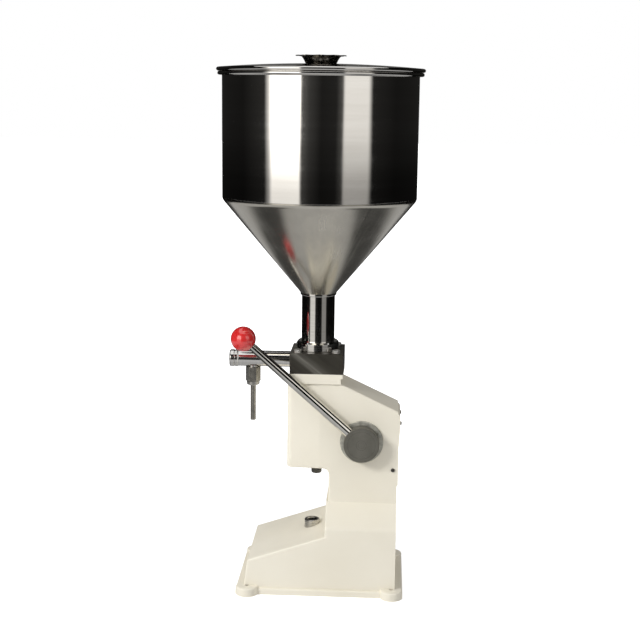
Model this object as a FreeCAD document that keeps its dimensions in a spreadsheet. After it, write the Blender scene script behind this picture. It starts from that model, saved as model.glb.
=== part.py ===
"""Hand-lever liquid filling machine: a hopper on a valve block, a piston pump in a cast housing, a nozzle in front.

Millimetres, +Z up. The origin is on the floor under the hopper's axis. The nozzle faces -Y, the lever is on the +X side.
Every size is a cell of the sheet; every sketch, feature and placement is bound to the cells.
"""
import FreeCAD, Part
import math
import os
import re
from collections import namedtuple

import Sketcher

Vector = FreeCAD.Vector
doc = FreeCAD.newDocument("filling_machine")
sheet = doc.addObject("Spreadsheet::Sheet", "Sizes")

# Driving dimensions: name, size, what it is
SIZES = [
    ("base_width", 146, "ramp block, side to side"),
    ("ramp_front", 93, "ramp's upper front edge, ahead of the pump axis"),
    ("front_draft", 6, "how far the front wall leans out at the floor"),
    ("ramp_low", 49, "ramp height at its front edge"),
    ("ramp_high", 86, "ramp height at the riser"),
    ("riser_back", 16, "riser behind the pump axis"),
    ("body_rear", 116, "rear face of base, column and housing"),
    ("foot_top", 126, "top of the base, where the column stands"),
    ("shoulder_low", 99, "height of the shoulder at the base's sides"),
    ("base_wall", 7, "wall of the base casting"),
    ("flange_side", 4.5, "flange beyond the side walls"),
    ("flange_thick", 9, "flange round the floor"),
    ("ear_radius", 16, "round fixing ears"),
    ("ear_thick", 12, "height of the ears"),
    ("ear_hole", 6, "hole in each ear, diameter"),
    ("ear_inset", 5, "rear ear holes ahead of the rear face"),
    ("cast_round", 2.5, "soft edges of the castings"),
    ("socket_outer", 22, "bottle-rest socket, outer diameter"),
    ("socket_bore", 12, "bottle-rest socket, bore"),
    ("socket_top", 88, "top face of the socket"),
    ("socket_length", 30, "length of the socket"),
    ("socket_front", 5.5, "socket axis ahead of the pump axis"),
    ("boss_wall", 6, "casting round the socket"),
    ("body_width", 70, "column and housing, side to side"),
    ("column_front", 19, "column's front face behind the pump axis"),
    ("housing_bottom", 174, "underside of the housing"),
    ("housing_top", 298, "flat top of the housing"),
    ("front_face", 41, "housing front ahead of the pump axis"),
    ("nose_width", 62, "width of the housing at its front face"),
    ("crease_back", 5.6, "where the sides start to draw in"),
    ("nose_radius", 8, "rounding of the front corners"),
    ("throat_radius", 8, "rounding between housing and column"),
    ("roof_start", 34.5, "where the roof starts to slope"),
    ("roof_end", 260, "roof height at the rear face"),
    ("side_wall", 8, "housing side and rear wall"),
    ("floor_wall", 6, "housing floor"),
    ("roof_wall", 10, "housing roof"),
    ("foot_wall", 12, "column foot"),
    ("window_low", 162, "lower edge of the rear window"),
    ("pad_height", 8, "raised pad under the pump head"),
    ("plate_thick", 6, "pump head plate"),
    ("block_side", 75, "valve block, square"),
    ("block_height", 29, "valve block height"),
    ("edge_break", 1, "broken edges of block and plate"),
    ("bolt_place", 27, "head bolts from the axis, both ways"),
    ("bolt_size", 6, "head bolt diameter"),
    ("bolt_flats", 10, "head bolt across flats"),
    ("bolt_head", 4.2, "head bolt head height"),
    ("bolt_grip", 14, "thread held in the housing"),
    ("slack", 0.05, "fit clearance, on the radius"),
    ("air_gap", 0.3, "gap between pieces that only come close"),
    ("pump_bore", 40, "pump cylinder bore"),
    ("barrel_wall", 5, "pump cylinder wall"),
    ("barrel_flange", 59, "pump cylinder flange diameter"),
    ("stroke", 42.4, "piston travel"),
    ("dead_space", 4, "gap over the piston at the top"),
    ("piston_height", 22, "piston height"),
    ("seal_height", 3, "piston seal section height"),
    ("seal_depth", 2.5, "piston seal section depth"),
    ("seal_pitch", 6.5, "from one seal to the next"),
    ("rod_size", 14, "piston rod diameter"),
    ("rod_socket", 10, "rod's end inside the piston"),
    ("pivot_back", 65.2, "lever shaft behind the pump axis"),
    ("shaft_size", 16, "lever shaft diameter"),
    ("pin_size", 10, "crosshead pin diameter"),
    ("pin_play", 0.6, "pin to slot, each side"),
    ("arm_eye_wall", 4, "crank arm round its slot"),
    ("arm_boss", 32, "crank arm boss diameter"),
    ("arm_thick", 14, "crank arm thickness"),
    ("cheek", 6.5, "crosshead cheek thickness"),
    ("fork_play", 0.5, "arm to cheek, each side"),
    ("fork_depth", 22, "crosshead, front to rear"),
    ("fork_below", 12, "crosshead below its pin"),
    ("fork_above", 15.5, "slot of the crosshead above its pin"),
    ("fork_bridge", 8.5, "bridge of the crosshead"),
    ("sump_gap", 2.2, "crosshead over the floor at full stroke"),
    ("clip_height", 1.2, "spring clips, thickness"),
    ("clip_width", 2.5, "spring clips, radial width"),
    ("bearing_flange", 61, "bearing flange diameter"),
    ("bearing_plate", 3.5, "bearing flange thickness"),
    ("bearing_outer", 36, "bearing spigot diameter"),
    ("bush_wall", 3, "bearing bush wall"),
    ("bearing_inside", 5, "bearing past the inner wall"),
    ("hub_size", 50, "lever hub diameter"),
    ("hub_length", 15.5, "lever hub length"),
    ("hub_gap", 0.5, "hub clear of the bearing"),
    ("hub_face_wall", 4, "hub in front of the shaft end"),
    ("key_size", 5, "hub key, square"),
    ("lever_angle", 41.4, "lever over the horizontal at rest"),
    ("lever_reach", 222, "shaft axis to ball centre"),
    ("lever_thick", 14, "lever rod at the hub"),
    ("lever_thin", 11.5, "lever rod at the ball"),
    ("lever_socket", 10, "lever rod inside the hub"),
    ("ball_size", 35, "ball knob diameter"),
    ("ball_socket", 20, "lever rod inside the ball"),
    ("adjuster_size", 10, "stroke screw diameter"),
    ("adjuster_head", 15, "stroke screw head diameter"),
    ("adjuster_low", 158.5, "lowest point of the stroke screw"),
    ("adjuster_head_height", 6.5, "stroke screw head height"),
    ("boss_drop", 3, "boss under the housing floor"),
    ("lock_height", 5, "lock nut height"),
    ("lock_flats", 14.5, "lock nut across flats"),
    ("chamber_size", 26, "valve chamber diameter"),
    ("seat_size", 42, "inlet seat diameter"),
    ("seat_height", 6, "inlet seat height"),
    ("inlet_hole", 11, "inlet seat hole"),
    ("inlet_ball_size", 14, "inlet ball diameter"),
    ("retainer_size", 46, "ball retainer diameter"),
    ("retainer_height", 3, "ball retainer thickness"),
    ("retainer_hole", 5.5, "flow holes of the retainer"),
    ("spring_wire", 0.9, "valve spring wire"),
    ("tube_height", 13, "outlet axis over the block's underside"),
    ("tube_size", 23, "outlet tube diameter"),
    ("tube_wall", 3, "outlet tube wall"),
    ("tube_end", 113, "outlet tube's end ahead of the pump axis"),
    ("tube_socket", 12, "outlet tube inside the block"),
    ("outlet_hole", 9, "outlet seat hole"),
    ("outlet_throat", 12, "passage behind the outlet seat"),
    ("outlet_seat_place", 46, "outlet seat ahead of the pump axis"),
    ("outlet_seat_length", 4, "outlet seat length"),
    ("outlet_ball_size", 12, "outlet ball diameter"),
    ("stem_size", 10, "cap stem diameter"),
    ("stem_end", 74, "cap stem's tip ahead of the pump axis"),
    ("cap_size", 24.6, "end cap diameter"),
    ("cap_length", 12, "end cap length"),
    ("cap_round", 2.5, "rounding of the end cap"),
    ("gasket", 0.8, "cap gasket thickness"),
    ("nozzle_place", 92.3, "nozzle axis ahead of the pump axis"),
    ("branch_size", 15, "branch under the outlet tube"),
    ("branch_end", 27, "branch end under the outlet axis"),
    ("branch_bore", 8, "branch bore"),
    ("nut_flats", 19, "nozzle nut across flats"),
    ("nut_height", 21.5, "nozzle nut height"),
    ("ferrule_size", 18.6, "ferrule diameter"),
    ("ferrule_height", 5, "ferrule height"),
    ("nozzle_size", 8, "nozzle tube diameter"),
    ("nozzle_wall", 1, "nozzle tube wall"),
    ("nozzle_end", 7.4, "nozzle tube inside ferrule and nut"),
    ("nozzle_relief", 0.5, "thinner end seen under the ferrule"),
    ("nozzle_tip", 234.7, "nozzle's tip over the floor"),
    ("neck_size", 46.7, "hopper neck diameter"),
    ("neck_wall", 1.6, "hopper neck wall"),
    ("neck_sink", 3, "neck inside the block"),
    ("neck_seal_height", 1.5, "seal under the neck"),
    ("neck_rim", 51, "weld rim at the top of the neck"),
    ("neck_rim_height", 3, "weld rim height"),
    ("collar_size", 59, "collar diameter"),
    ("collar_height", 13, "collar height"),
    ("collar_chamfer", 2, "collar chamfer"),
    ("cone_bottom", 422.7, "lower end of the hopper cone"),
    ("cone_top", 554, "bend between cone and wall"),
    ("bend_radius", 10, "outer radius of the bend"),
    ("hopper_size", 270.4, "hopper diameter"),
    ("hopper_wall_thick", 1.2, "hopper sheet"),
    ("rim_height", 724.6, "middle of the hopper's rolled rim"),
    ("rim_roll", 2.6, "radius of the rolled rims"),
    ("rim_step", 2.2, "short flange inside the hopper's roll"),
    ("lid_overhang", 1.6, "lid past the hopper's rolled rim"),
    ("lid_rise", 5.8, "dome over the lid's rim"),
    ("lid_sheet", 1.2, "lid sheet"),
    ("skirt_depth", 12.5, "lid's locating skirt"),
    ("skirt_gap", 0.8, "skirt to hopper wall"),
    ("knob_size", 70, "lid knob over its brim"),
    ("knob_bowl", 54, "lid knob under its brim"),
    ("knob_foot", 43, "lid knob at the lid"),
    ("knob_height", 11.5, "lid knob height"),
    ("knob_brim", 1.4, "brim thickness"),
    ("scallop_size", 11, "scallops in the brim, diameter"),
    ("cover_low", 152, "rear cover, lower edge"),
    ("cover_thin", 1.5, "rear cover sheet"),
    ("cover_bulge", 3.2, "rear cover at its bulge"),
    ("cover_top", 256, "rear cover, upper edge"),
    ("screw_size", 4, "cover screws"),
    ("screw_head", 5.6, "cover screw heads"),
    ("screw_head_height", 2, "cover screw head height"),
    ("foot_bolt_size", 8, "bolts through the base"),
    ("foot_bolt_head", 13, "their heads, across flats"),
    ("foot_bolt_head_height", 5.3, "their heads, height"),
    ("foot_bolt_side", 23, "their place from the middle plane"),
    ("foot_bolt_inset", 19, "their place from the column's faces"),
    ("cover_step", 205, "height where the rear cover starts to bulge"),
    ("cover_full", 236, "height where its bulge is full"),
    ("cover_screw_side", 31, "rear screws from the middle plane"),
    ("cover_screw_high", 243, "height of the rear screws"),
    ("screw_grip", 10, "thread of the rear screws in the wall"),
    ("side_screw_back", 110, "side screws behind the pump axis"),
    ("side_screw_height", 175, "height of the side screws"),
    ("lug_thick", 4, "lugs of the rear cover"),
    ("lug_height", 14, "height of the lugs"),
    ("lug_gap", 0.2, "lug to wall"),
    ("seal_land", 2, "pump bore to the head seal"),
    ("head_seal_width", 3, "head seal, radial width"),
    ("head_seal_height", 1.5, "head seal height"),
    ("crown_land", 4.5, "piston crown to its first seal"),
    ("rod_seat", 6, "rod's end inside the crosshead"),
    ("pin_tail", 1.5, "crosshead pin past its clips"),
    ("arm_boss_length", 28, "crank arm boss along the shaft"),
    ("arm_pin_size", 5, "cross pin of the crank arm"),
    ("set_screw_size", 6, "hub set screw"),
    ("set_screw_inset", 0.5, "pin and set screw under the surface"),
    ("washer_size", 28, "shaft washer diameter"),
    ("washer_thick", 1.5, "shaft washer thickness"),
    ("shaft_tail", 2, "shaft past its clip"),
    ("key_length", 10, "hub key length"),
    ("ball_stud", 8, "lever stud in the ball"),
    ("retainer_pitch", 9.5, "flow holes from the retainer's axis"),
    ("spring_radius", 3.4, "valve springs, mean radius"),
    ("inlet_turns", 3, "inlet spring's turns"),
    ("outlet_turns", 5, "outlet spring's turns"),
    ("cap_plug", 8, "end cap's plug inside the tube"),
    ("knob_screw_size", 6, "knob screw"),
    ("knob_screw_head", 10, "knob screw head"),
    ("knob_screw_grip", 5, "knob screw inside the knob"),
    ("knob_dish", 5, "hollow in the knob's top"),
    ("knob_curve", 14, "curve of the knob's bowl"),
    ("scallop_bite", 2.2, "scallops into the brim"),
]

# Sizes that follow from the driving ones
DERIVED = [
    ("ear_side", "base_width / 2"),
    ("front_ear", "ramp_front"),
    ("rear_ear", "body_rear - ear_inset"),
    ("window_high", "roof_end - roof_wall"),
    ("sump_floor", "housing_bottom + floor_wall"),
    ("cavity_half", "body_width / 2 - side_wall"),
    ("pin_low", "sump_floor + sump_gap + fork_below"),
    ("pin_high", "pin_low + stroke"),
    ("pivot_height", "(pin_low + pin_high) / 2"),
    ("arm_angle", "atan(stroke / 2 / pivot_back) / 1 deg"),
    ("arm_long", "pivot_back / cos(arm_angle) + pin_play"),
    ("arm_short", "pivot_back - pin_play"),
    ("eye_radius", "pin_size / 2 + pin_play + arm_eye_wall"),
    ("barrel_bottom", "pin_high + pin_play + eye_radius + pin_size / 2"),
    ("pad_top", "housing_top + pad_height"),
    ("block_bottom", "pad_top + plate_thick"),
    ("block_top", "block_bottom + block_height"),
    ("piston_top", "block_bottom - dead_space"),
    ("piston_bottom", "piston_top - piston_height"),
    ("fork_top", "pin_high + fork_above + fork_bridge"),
    ("fork_half", "arm_thick / 2 + fork_play + cheek"),
    ("face_near", "body_width / 2"),
    ("bearing_face", "face_near + bearing_plate"),
    ("hub_start", "bearing_face + hub_gap"),
    ("hub_end", "hub_start + hub_length"),
    ("bush_outer", "shaft_size / 2 + slack + bush_wall"),
    ("lever_lean", "90 - lever_angle"),
    ("boss_bottom", "housing_bottom - boss_drop"),
    ("adjuster_top", "pin_low - fork_below - air_gap"),
    ("seat_bottom", "block_top - neck_sink - seat_height"),
    ("seat_top", "block_top - neck_sink"),
    ("inlet_reach", "sqrt(inlet_ball_size * inlet_ball_size - inlet_hole * inlet_hole) / 2"),
    ("inlet_ball_place", "seat_bottom - inlet_reach - air_gap"),
    ("retainer_top", "block_bottom + retainer_height"),
    ("tube_axis", "block_bottom + tube_height"),
    ("tube_start", "block_side / 2 - tube_socket"),
    ("tube_bore", "tube_size / 2 - tube_wall"),
    ("outlet_seat_end", "outlet_seat_place + outlet_seat_length"),
    ("outlet_reach", "sqrt(outlet_ball_size * outlet_ball_size - outlet_hole * outlet_hole) / 2"),
    ("outlet_ball_place", "outlet_seat_end + outlet_reach + air_gap"),
    ("cap_start", "tube_end + gasket"),
    ("nut_top", "tube_axis - tube_size / 2"),
    ("nut_bottom", "nut_top - nut_height"),
    ("ferrule_bottom", "nut_bottom - ferrule_height"),
    ("branch_bottom", "tube_axis - branch_end"),
    ("neck_bottom", "seat_top + neck_seal_height"),
    ("hopper_radius", "hopper_size / 2"),
    ("hopper_inside", "hopper_radius - hopper_wall_thick"),
    ("cone_lean", "atan((hopper_size - neck_rim) / 2 / (cone_top - cone_bottom)) / 1 deg"),
    ("cone_sheet", "hopper_wall_thick / cos(cone_lean)"),
    ("bend_reach", "bend_radius * tan(cone_lean / 2)"),
    ("bend_inner", "bend_radius - hopper_wall_thick"),
    ("inner_reach", "bend_inner * tan(cone_lean / 2)"),
    ("inner_corner", "cone_top + hopper_wall_thick * tan(cone_lean / 2)"),
    ("wall_bottom", "cone_top + bend_reach"),
    ("rim_middle", "hopper_inside + rim_step + rim_roll"),
    ("lid_size", "2 * (rim_middle + rim_roll + lid_overhang)"),
    ("lid_roll_middle", "lid_size / 2 - rim_roll"),
    ("lid_roll_height", "rim_height + 2 * rim_roll + air_gap"),
    ("lid_edge_top", "lid_roll_height + rim_roll"),
    ("lid_edge_bottom", "lid_roll_height - rim_roll"),
    ("lid_top", "lid_edge_top + lid_rise"),
    ("lid_curve", "(lid_roll_middle ^ 2 + lid_rise ^ 2) / (2 * lid_rise)"),
    ("skirt_radius", "hopper_inside - skirt_gap"),
    ("skirt_inside", "skirt_radius - lid_sheet"),
    ("skirt_bottom", "lid_edge_bottom - skirt_depth"),
    ("lid_under", "lid_top - lid_sheet"),
    ("lid_under_edge", "lid_edge_top - lid_sheet"),
    ("under_drop", "lid_under - lid_under_edge"),
    ("lid_under_curve", "(skirt_inside ^ 2 + under_drop ^ 2) / (2 * under_drop)"),
    ("knob_top", "lid_top + knob_height"),
    ("arm_taper", "asin((arm_boss / 2 - eye_radius) / arm_long) / 1 deg"),
    ("bearing_depth", "side_wall + bearing_inside"),
    ("washer_start", "bearing_face + air_gap"),
    ("clip_start", "washer_start + washer_thick"),
    ("shaft_far", "clip_start + clip_height + shaft_tail"),
    ("shaft_near", "hub_end - hub_face_wall"),
    ("hub_middle", "(hub_start + hub_end) / 2"),
    ("key_top", "shaft_size / 2 + key_size / 2"),
    ("ball_flat", "sqrt(ball_size * ball_size - lever_thin * lever_thin) / 2"),
    ("ball_seat", "lever_reach - ball_flat"),
    ("cap_end", "cap_start + cap_length"),
    ("nut_corner", "nut_flats / 2 / cos(30)"),
]

ALIASES = {name for name, *_ in SIZES} | {name for name, _ in DERIVED}
for row, (name, size, note) in enumerate(SIZES, start=1):
    sheet.set(f"A{row}", note)
    sheet.set(f"B{row}", str(size))
    sheet.setAlias(f"B{row}", name)
for row, (name, formula) in enumerate(DERIVED, start=len(SIZES) + 2):
    sheet.set(f"B{row}", "=" + formula)
    sheet.setAlias(f"B{row}", name)
doc.recompute()


# Binding sizes to the sheet

def bound(formula):
    """The formula with each size's name pointing at its cell."""
    return re.sub(r"[a-z_]+", lambda word: "Sizes." + word[0] if word[0] in ALIASES else word[0], str(formula))


def value(formula):
    """What the formula gives now."""
    return float(sheet.evalExpression(bound(formula)))


def bind(thing, prop, formula):
    """Tie one property to a formula of sizes."""
    thing.setExpression(prop, bound(formula))


def place(thing, x=0, y=0, z=0, axis=None, angle=0):
    """Put a sub-part at a place given in sizes, turned by angle about axis."""
    turn = FreeCAD.Rotation(Vector(*axis), value(angle)) if axis else FreeCAD.Rotation()
    thing.Placement = FreeCAD.Placement(Vector(value(x), value(y), value(z)), turn)
    for name, formula in zip("xyz", (x, y, z)):
        bind(thing, f"Placement.Base.{name}", formula)
    if axis:
        bind(thing, "Placement.Rotation.Angle", angle)


ALONG_X = {"axis": (0, 1, 0), "angle": 90}
ALONG_MINUS_X = {"axis": (0, 1, 0), "angle": -90}
TO_FRONT = {"axis": (1, 0, 0), "angle": 90}


# Sketches and features

Arc = namedtuple("Arc", "x y radius turn")
Circle = namedtuple("Circle", "x y radius")


def loop(sketch, corners):
    """One closed outline of lines and arcs, every corner and radius tied to its formula."""
    count = len(corners)
    points = [Vector(value(corner[0]), value(corner[1]), 0) for corner in corners]
    first = sketch.GeometryCount
    shapes = []
    ends = []
    rules = []
    for index, corner in enumerate(corners):
        start = points[index - 1]
        end = points[index]
        if isinstance(corner, Arc):
            radius = value(corner.radius)
            chord = end - start
            left = Vector(-chord.y, chord.x, 0).normalize() * corner.turn
            rise = math.sqrt(max(radius ** 2 - chord.Length ** 2 / 4, 0))
            centre = (start + end) / 2 + left * rise
            low, high = (start, end) if corner.turn > 0 else (end, start)
            angles = [math.atan2(point.y - centre.y, point.x - centre.x) for point in (low, high)]
            circle = Part.Circle(centre, Vector(0, 0, 1), radius)
            if angles[1] < angles[0]:
                angles[1] += math.tau
            shapes.append(Part.ArcOfCircle(circle, *angles))
            ends.append((1, 2) if corner.turn > 0 else (2, 1))
            rules.append((Sketcher.Constraint("Radius", first + index, radius), corner.radius))
        else:
            shapes.append(Part.LineSegment(start, end))
            ends.append((1, 2))
    for index, corner in enumerate(corners):
        edge = first + index
        after = (index + 1) % count
        tail = ends[index][1]
        rules.append((Sketcher.Constraint("Coincident", edge, tail, first + after, ends[after][0]), None))
        for name, axis, formula, at in (("DistanceX", -2, corner[0], points[index].x),
                                        ("DistanceY", -1, corner[1], points[index].y)):
            if str(formula) == "0":
                rules.append((Sketcher.Constraint("PointOnObject", edge, tail, axis), None))
            else:
                rules.append((Sketcher.Constraint(name, -1, 1, edge, tail, at), formula))
    return shapes, rules


def ring(sketch, circle):
    """One circle, its middle and radius tied to their formulas."""
    index = sketch.GeometryCount
    x, y, radius = (value(formula) for formula in circle)
    rules = [(Sketcher.Constraint("Radius", index, radius), circle.radius)]
    for name, axis, formula, at in (("DistanceX", -2, circle.x, x), ("DistanceY", -1, circle.y, y)):
        if str(formula) == "0":
            rules.append((Sketcher.Constraint("PointOnObject", index, 3, axis), None))
        else:
            rules.append((Sketcher.Constraint(name, -1, 1, index, 3, at), formula))
    return [Part.Circle(Vector(x, y, 0), Vector(0, 0, 1), radius)], rules


def sketch_on(body, plane, *outlines, offset=0, tilt=0):
    """A sketch on one of the body's own planes, moved along its normal or tilted about its first axis."""
    sketch = body.newObject("Sketcher::SketchObject", body.Label + "_sketch")
    support = next(item for item in body.Origin.OriginFeatures if item.Role == plane + "_Plane")
    sketch.AttachmentSupport = [(support, "")]
    sketch.MapMode = "FlatFace"
    if offset:
        bind(sketch, "AttachmentOffset.Base.z", offset)
    if tilt:
        sketch.AttachmentOffset = FreeCAD.Placement(Vector(), FreeCAD.Rotation(Vector(1, 0, 0), value(tilt)))
        bind(sketch, "AttachmentOffset.Rotation.Angle", tilt)
    for outline in outlines:
        shapes, rules = ring(sketch, outline) if isinstance(outline, Circle) else loop(sketch, outline)
        sketch.addGeometry(shapes)
        numbers = sketch.addConstraint([rule for rule, _ in rules])
        for number, (_, formula) in zip(numbers, rules):
            if formula is not None and not isinstance(formula, (int, float)):
                bind(sketch, f"Constraints[{number}]", formula)
    return sketch


def new_body(label):
    """An empty body with the node's name."""
    body = doc.addObject("PartDesign::Body", label)
    body.Label = label
    return body


def pad(body, sketch, length, both_ways=False, backwards=False):
    """Raise the sketch into a solid."""
    feature = body.newObject("PartDesign::Pad", body.Label + "_pad")
    feature.Profile = sketch
    bind(feature, "Length", length)
    feature.Midplane = both_ways
    feature.Reversed = backwards
    return feature


def pocket(body, sketch, depth=None, both_ways=False, backwards=False):
    """Cut the sketch out of the solid; with no depth the cut goes right through."""
    feature = body.newObject("PartDesign::Pocket", body.Label + "_pocket")
    feature.Profile = sketch
    if depth is None:
        feature.Type = "ThroughAll"
    else:
        bind(feature, "Length", depth)
    feature.Midplane = both_ways
    feature.Reversed = backwards
    return feature


def turn(body, sketch, kind="Revolution"):
    """Turn the sketch round the body's Z axis, to add (Revolution) or to cut (Groove)."""
    feature = body.newObject("PartDesign::" + kind, body.Label + "_turn")
    feature.Profile = sketch
    feature.ReferenceAxis = (sketch, ["V_Axis"])
    feature.Angle = 360
    return feature


def turned(label, outline, **where):
    """A turned piece: its half outline is radius and height."""
    body = new_body(label)
    turn(body, sketch_on(body, "XZ", outline))
    if where:
        place(body, **where)
    return body


def tube(inner, outer, low, high):
    """Half outline of a plain ring or, with no inner radius, of a disc."""
    return [(inner, low), (outer, low), (outer, high), (inner, high)]


def fillet(body, feature, radius, chosen):
    """Round the edges of the feature for which chosen is true."""
    doc.recompute()
    names = [f"Edge{number}" for number, edge in enumerate(feature.Shape.Edges, start=1) if chosen(edge)]
    if not names:
        raise ValueError(f"{body.Label}: no edge to round")
    rounding = body.newObject("PartDesign::Fillet", body.Label + "_fillet")
    rounding.Base = (feature, names)
    bind(rounding, "Radius", radius)
    return rounding


def upright(edge):
    """Whether the edge is a straight vertical one."""
    return len(edge.Vertexes) == 2 and abs(edge.Vertexes[0].Z - edge.Vertexes[1].Z) > 0.99 * edge.Length


def level_at(edge, height):
    """Whether the whole edge lies at that height."""
    return edge.BoundBox.ZLength < 0.01 and abs(edge.BoundBox.ZMin - value(height)) < 0.01


def on_sides(edge, half):
    """Whether both ends of the edge are that far from the middle plane."""
    return len(edge.Vertexes) == 2 and all(abs(abs(corner.X) - value(half)) < 0.01 for corner in edge.Vertexes)


def lowest(edge):
    """The edge's lowest point."""
    return edge.BoundBox.ZMin


def reach(edge):
    """How far the edge gets from the middle plane."""
    return max(edge.BoundBox.XMax, -edge.BoundBox.XMin)


def rectangle(x_low, x_high, y_low, y_high):
    """A rectangle's corners."""
    return [(x_low, y_low), (x_high, y_low), (x_high, y_high), (x_low, y_high)]


def hexagon(flats, x="0", y="0"):
    """A hexagon's corners, two of them on the sketch's first axis."""
    corner = f"({flats}) / 2 / cos(30)"
    return [(f"{x} + {corner} * cos({60 * step})", f"{y} + {corner} * sin({60 * step})") for step in range(6)]


def group(label, pieces):
    """Separate like pieces that share one node."""
    together = doc.addObject("Part::Compound", label)
    together.Label = label
    together.Links = pieces
    return together


def cylinder(label, radius, height):
    """A plain cylinder whose sizes are formulas."""
    piece = doc.addObject("Part::Cylinder", label)
    bind(piece, "Radius", radius)
    bind(piece, "Height", height)
    return piece


def screw(label, size, length, head, head_height, flats=False, **where):
    """A screw along +Z: its shank ends at 0 and its head sits on the length, six-sided or round."""
    shank = cylinder(label + "_shank", f"({size}) / 2", length)
    if flats:
        top = doc.addObject("Part::Prism", label + "_head")
        top.Polygon = 6
        bind(top, "Circumradius", f"({head}) / 2 / cos(30)")
        bind(top, "Height", head_height)
    else:
        top = cylinder(label + "_head", f"({head}) / 2", head_height)
    bind(top, "Placement.Base.z", length)
    whole = doc.addObject("Part::Fuse", label)
    whole.Base = shank
    whole.Tool = top
    place(whole, **where)
    return whole


# Base

def base_casting():
    """Ramp block with its pedestal, hollow from below, on a flange with four ears."""
    body = new_body("base")
    half = "base_width / 2"
    side = [("-ramp_front - front_draft", 0), ("-ramp_front", "ramp_low"), ("riser_back", "ramp_high"),
            ("riser_back", "foot_top"), ("body_rear", "foot_top"), ("body_rear", 0)]
    pad(body, sketch_on(body, "YZ", side), "base_width", both_ways=True)
    shoulders = [[(f"{way} body_width / 2", "foot_top"), (f"{way} {half}", "foot_top"), (f"{way} {half}", "shoulder_low")]
                 for way in ("", "-")]
    cut = pocket(body, sketch_on(body, "XZ", *shoulders), both_ways=True)
    rounded = fillet(body, cut, "nose_radius", lambda edge: on_sides(edge, half) and lowest(edge) > value("ramp_high") + 1
                     and edge.Length > value("body_rear - riser_back") - 1)
    fillet(body, rounded, "cast_round", lambda edge: on_sides(edge, half) and edge.BoundBox.ZMax > 1
           and edge.BoundBox.YMax < value("riser_back") + 0.01)
    flange = rectangle(f"-{half} - flange_side", f"{half} + flange_side", "-front_ear - ear_radius", "rear_ear + ear_radius")
    foot = pad(body, sketch_on(body, "XY", flange), "flange_thick")
    fillet(body, foot, "cast_round", lambda edge: level_at(edge, "flange_thick") and reach(edge) > value(half) + 1)
    for way in ("", "-"):
        for y in ("-front_ear", "rear_ear"):
            ear = pad(body, sketch_on(body, "XY", Circle(f"{way}ear_side", y, "ear_radius")), "ear_thick")
    fillet(body, ear, "cast_round", lambda edge: level_at(edge, "ear_thick") and reach(edge) > value(half) + 1)
    hollow = [("-ramp_front + base_wall - front_draft", 0), ("-ramp_front + base_wall", "ramp_low - base_wall"),
              ("riser_back", "ramp_high - base_wall"), ("body_rear - base_wall", "ramp_high - base_wall"),
              ("body_rear - base_wall", 0)]
    pocket(body, sketch_on(body, "YZ", hollow), "base_width - 2 * base_wall", both_ways=True)
    pedestal = rectangle("riser_back + base_wall", "body_rear - base_wall", "0", "foot_top - foot_wall")
    pocket(body, sketch_on(body, "YZ", pedestal), "body_width", both_ways=True)
    boss = Circle(0, "-socket_front", "socket_outer / 2 + boss_wall")
    pad(body, sketch_on(body, "XY", boss, offset="socket_top - socket_length - base_wall"),
        "ramp_high - socket_top + socket_length + base_wall")
    above_ramp = [("-ramp_front", "ramp_low"), ("riser_back", "ramp_high"), ("-ramp_front", "ramp_high")]
    pocket(body, sketch_on(body, "YZ", above_ramp), both_ways=True)
    bore = Circle(0, "-socket_front", "socket_outer / 2")
    pocket(body, sketch_on(body, "XY", bore, offset="socket_top - socket_length"), "socket_length", backwards=True)
    ears = [Circle(f"{way}ear_side", y, "ear_hole / 2") for way in ("", "-") for y in ("-front_ear", "rear_ear")]
    pocket(body, sketch_on(body, "XY", *ears), "ear_thick", backwards=True)
    pocket(body, sketch_on(body, "XY", *foot_bolt_circles("foot_bolt_size / 2 + slack")), "foot_top", backwards=True)
    return [body]


def foot_bolt_places():
    """Where the four bolts through the base stand."""
    return [(f"{way}foot_bolt_side", y) for way in ("", "-")
            for y in ("column_front + foot_bolt_inset", "body_rear - foot_bolt_inset")]


def foot_bolt_circles(radius):
    """Their holes."""
    return [Circle(x, y, radius) for x, y in foot_bolt_places()]


def foot_bolts():
    """Four bolts from under the base into the column's foot."""
    bolts = [screw(f"foot_bolt_{number}", "foot_bolt_size", "2 * foot_wall",
                   "foot_bolt_head", "foot_bolt_head_height", flats=True,
                   x=x, y=y, z="foot_top + foot_wall", axis=(1, 0, 0), angle=180)
             for number, (x, y) in enumerate(foot_bolt_places())]
    return [group("foot_bolts", bolts)]


def rest_socket():
    """Steel socket in the ramp for the bottle rest's post."""
    outline = [("socket_bore / 2", 0), ("socket_outer / 2", 0), ("socket_outer / 2", "socket_length - edge_break"),
               ("socket_outer / 2 - edge_break", "socket_length"), ("socket_bore / 2 + edge_break", "socket_length"),
               ("socket_bore / 2", "socket_length - edge_break")]
    return [turned("rest_socket", outline, y="-socket_front", z="socket_top - socket_length")]


# Housing

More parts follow.
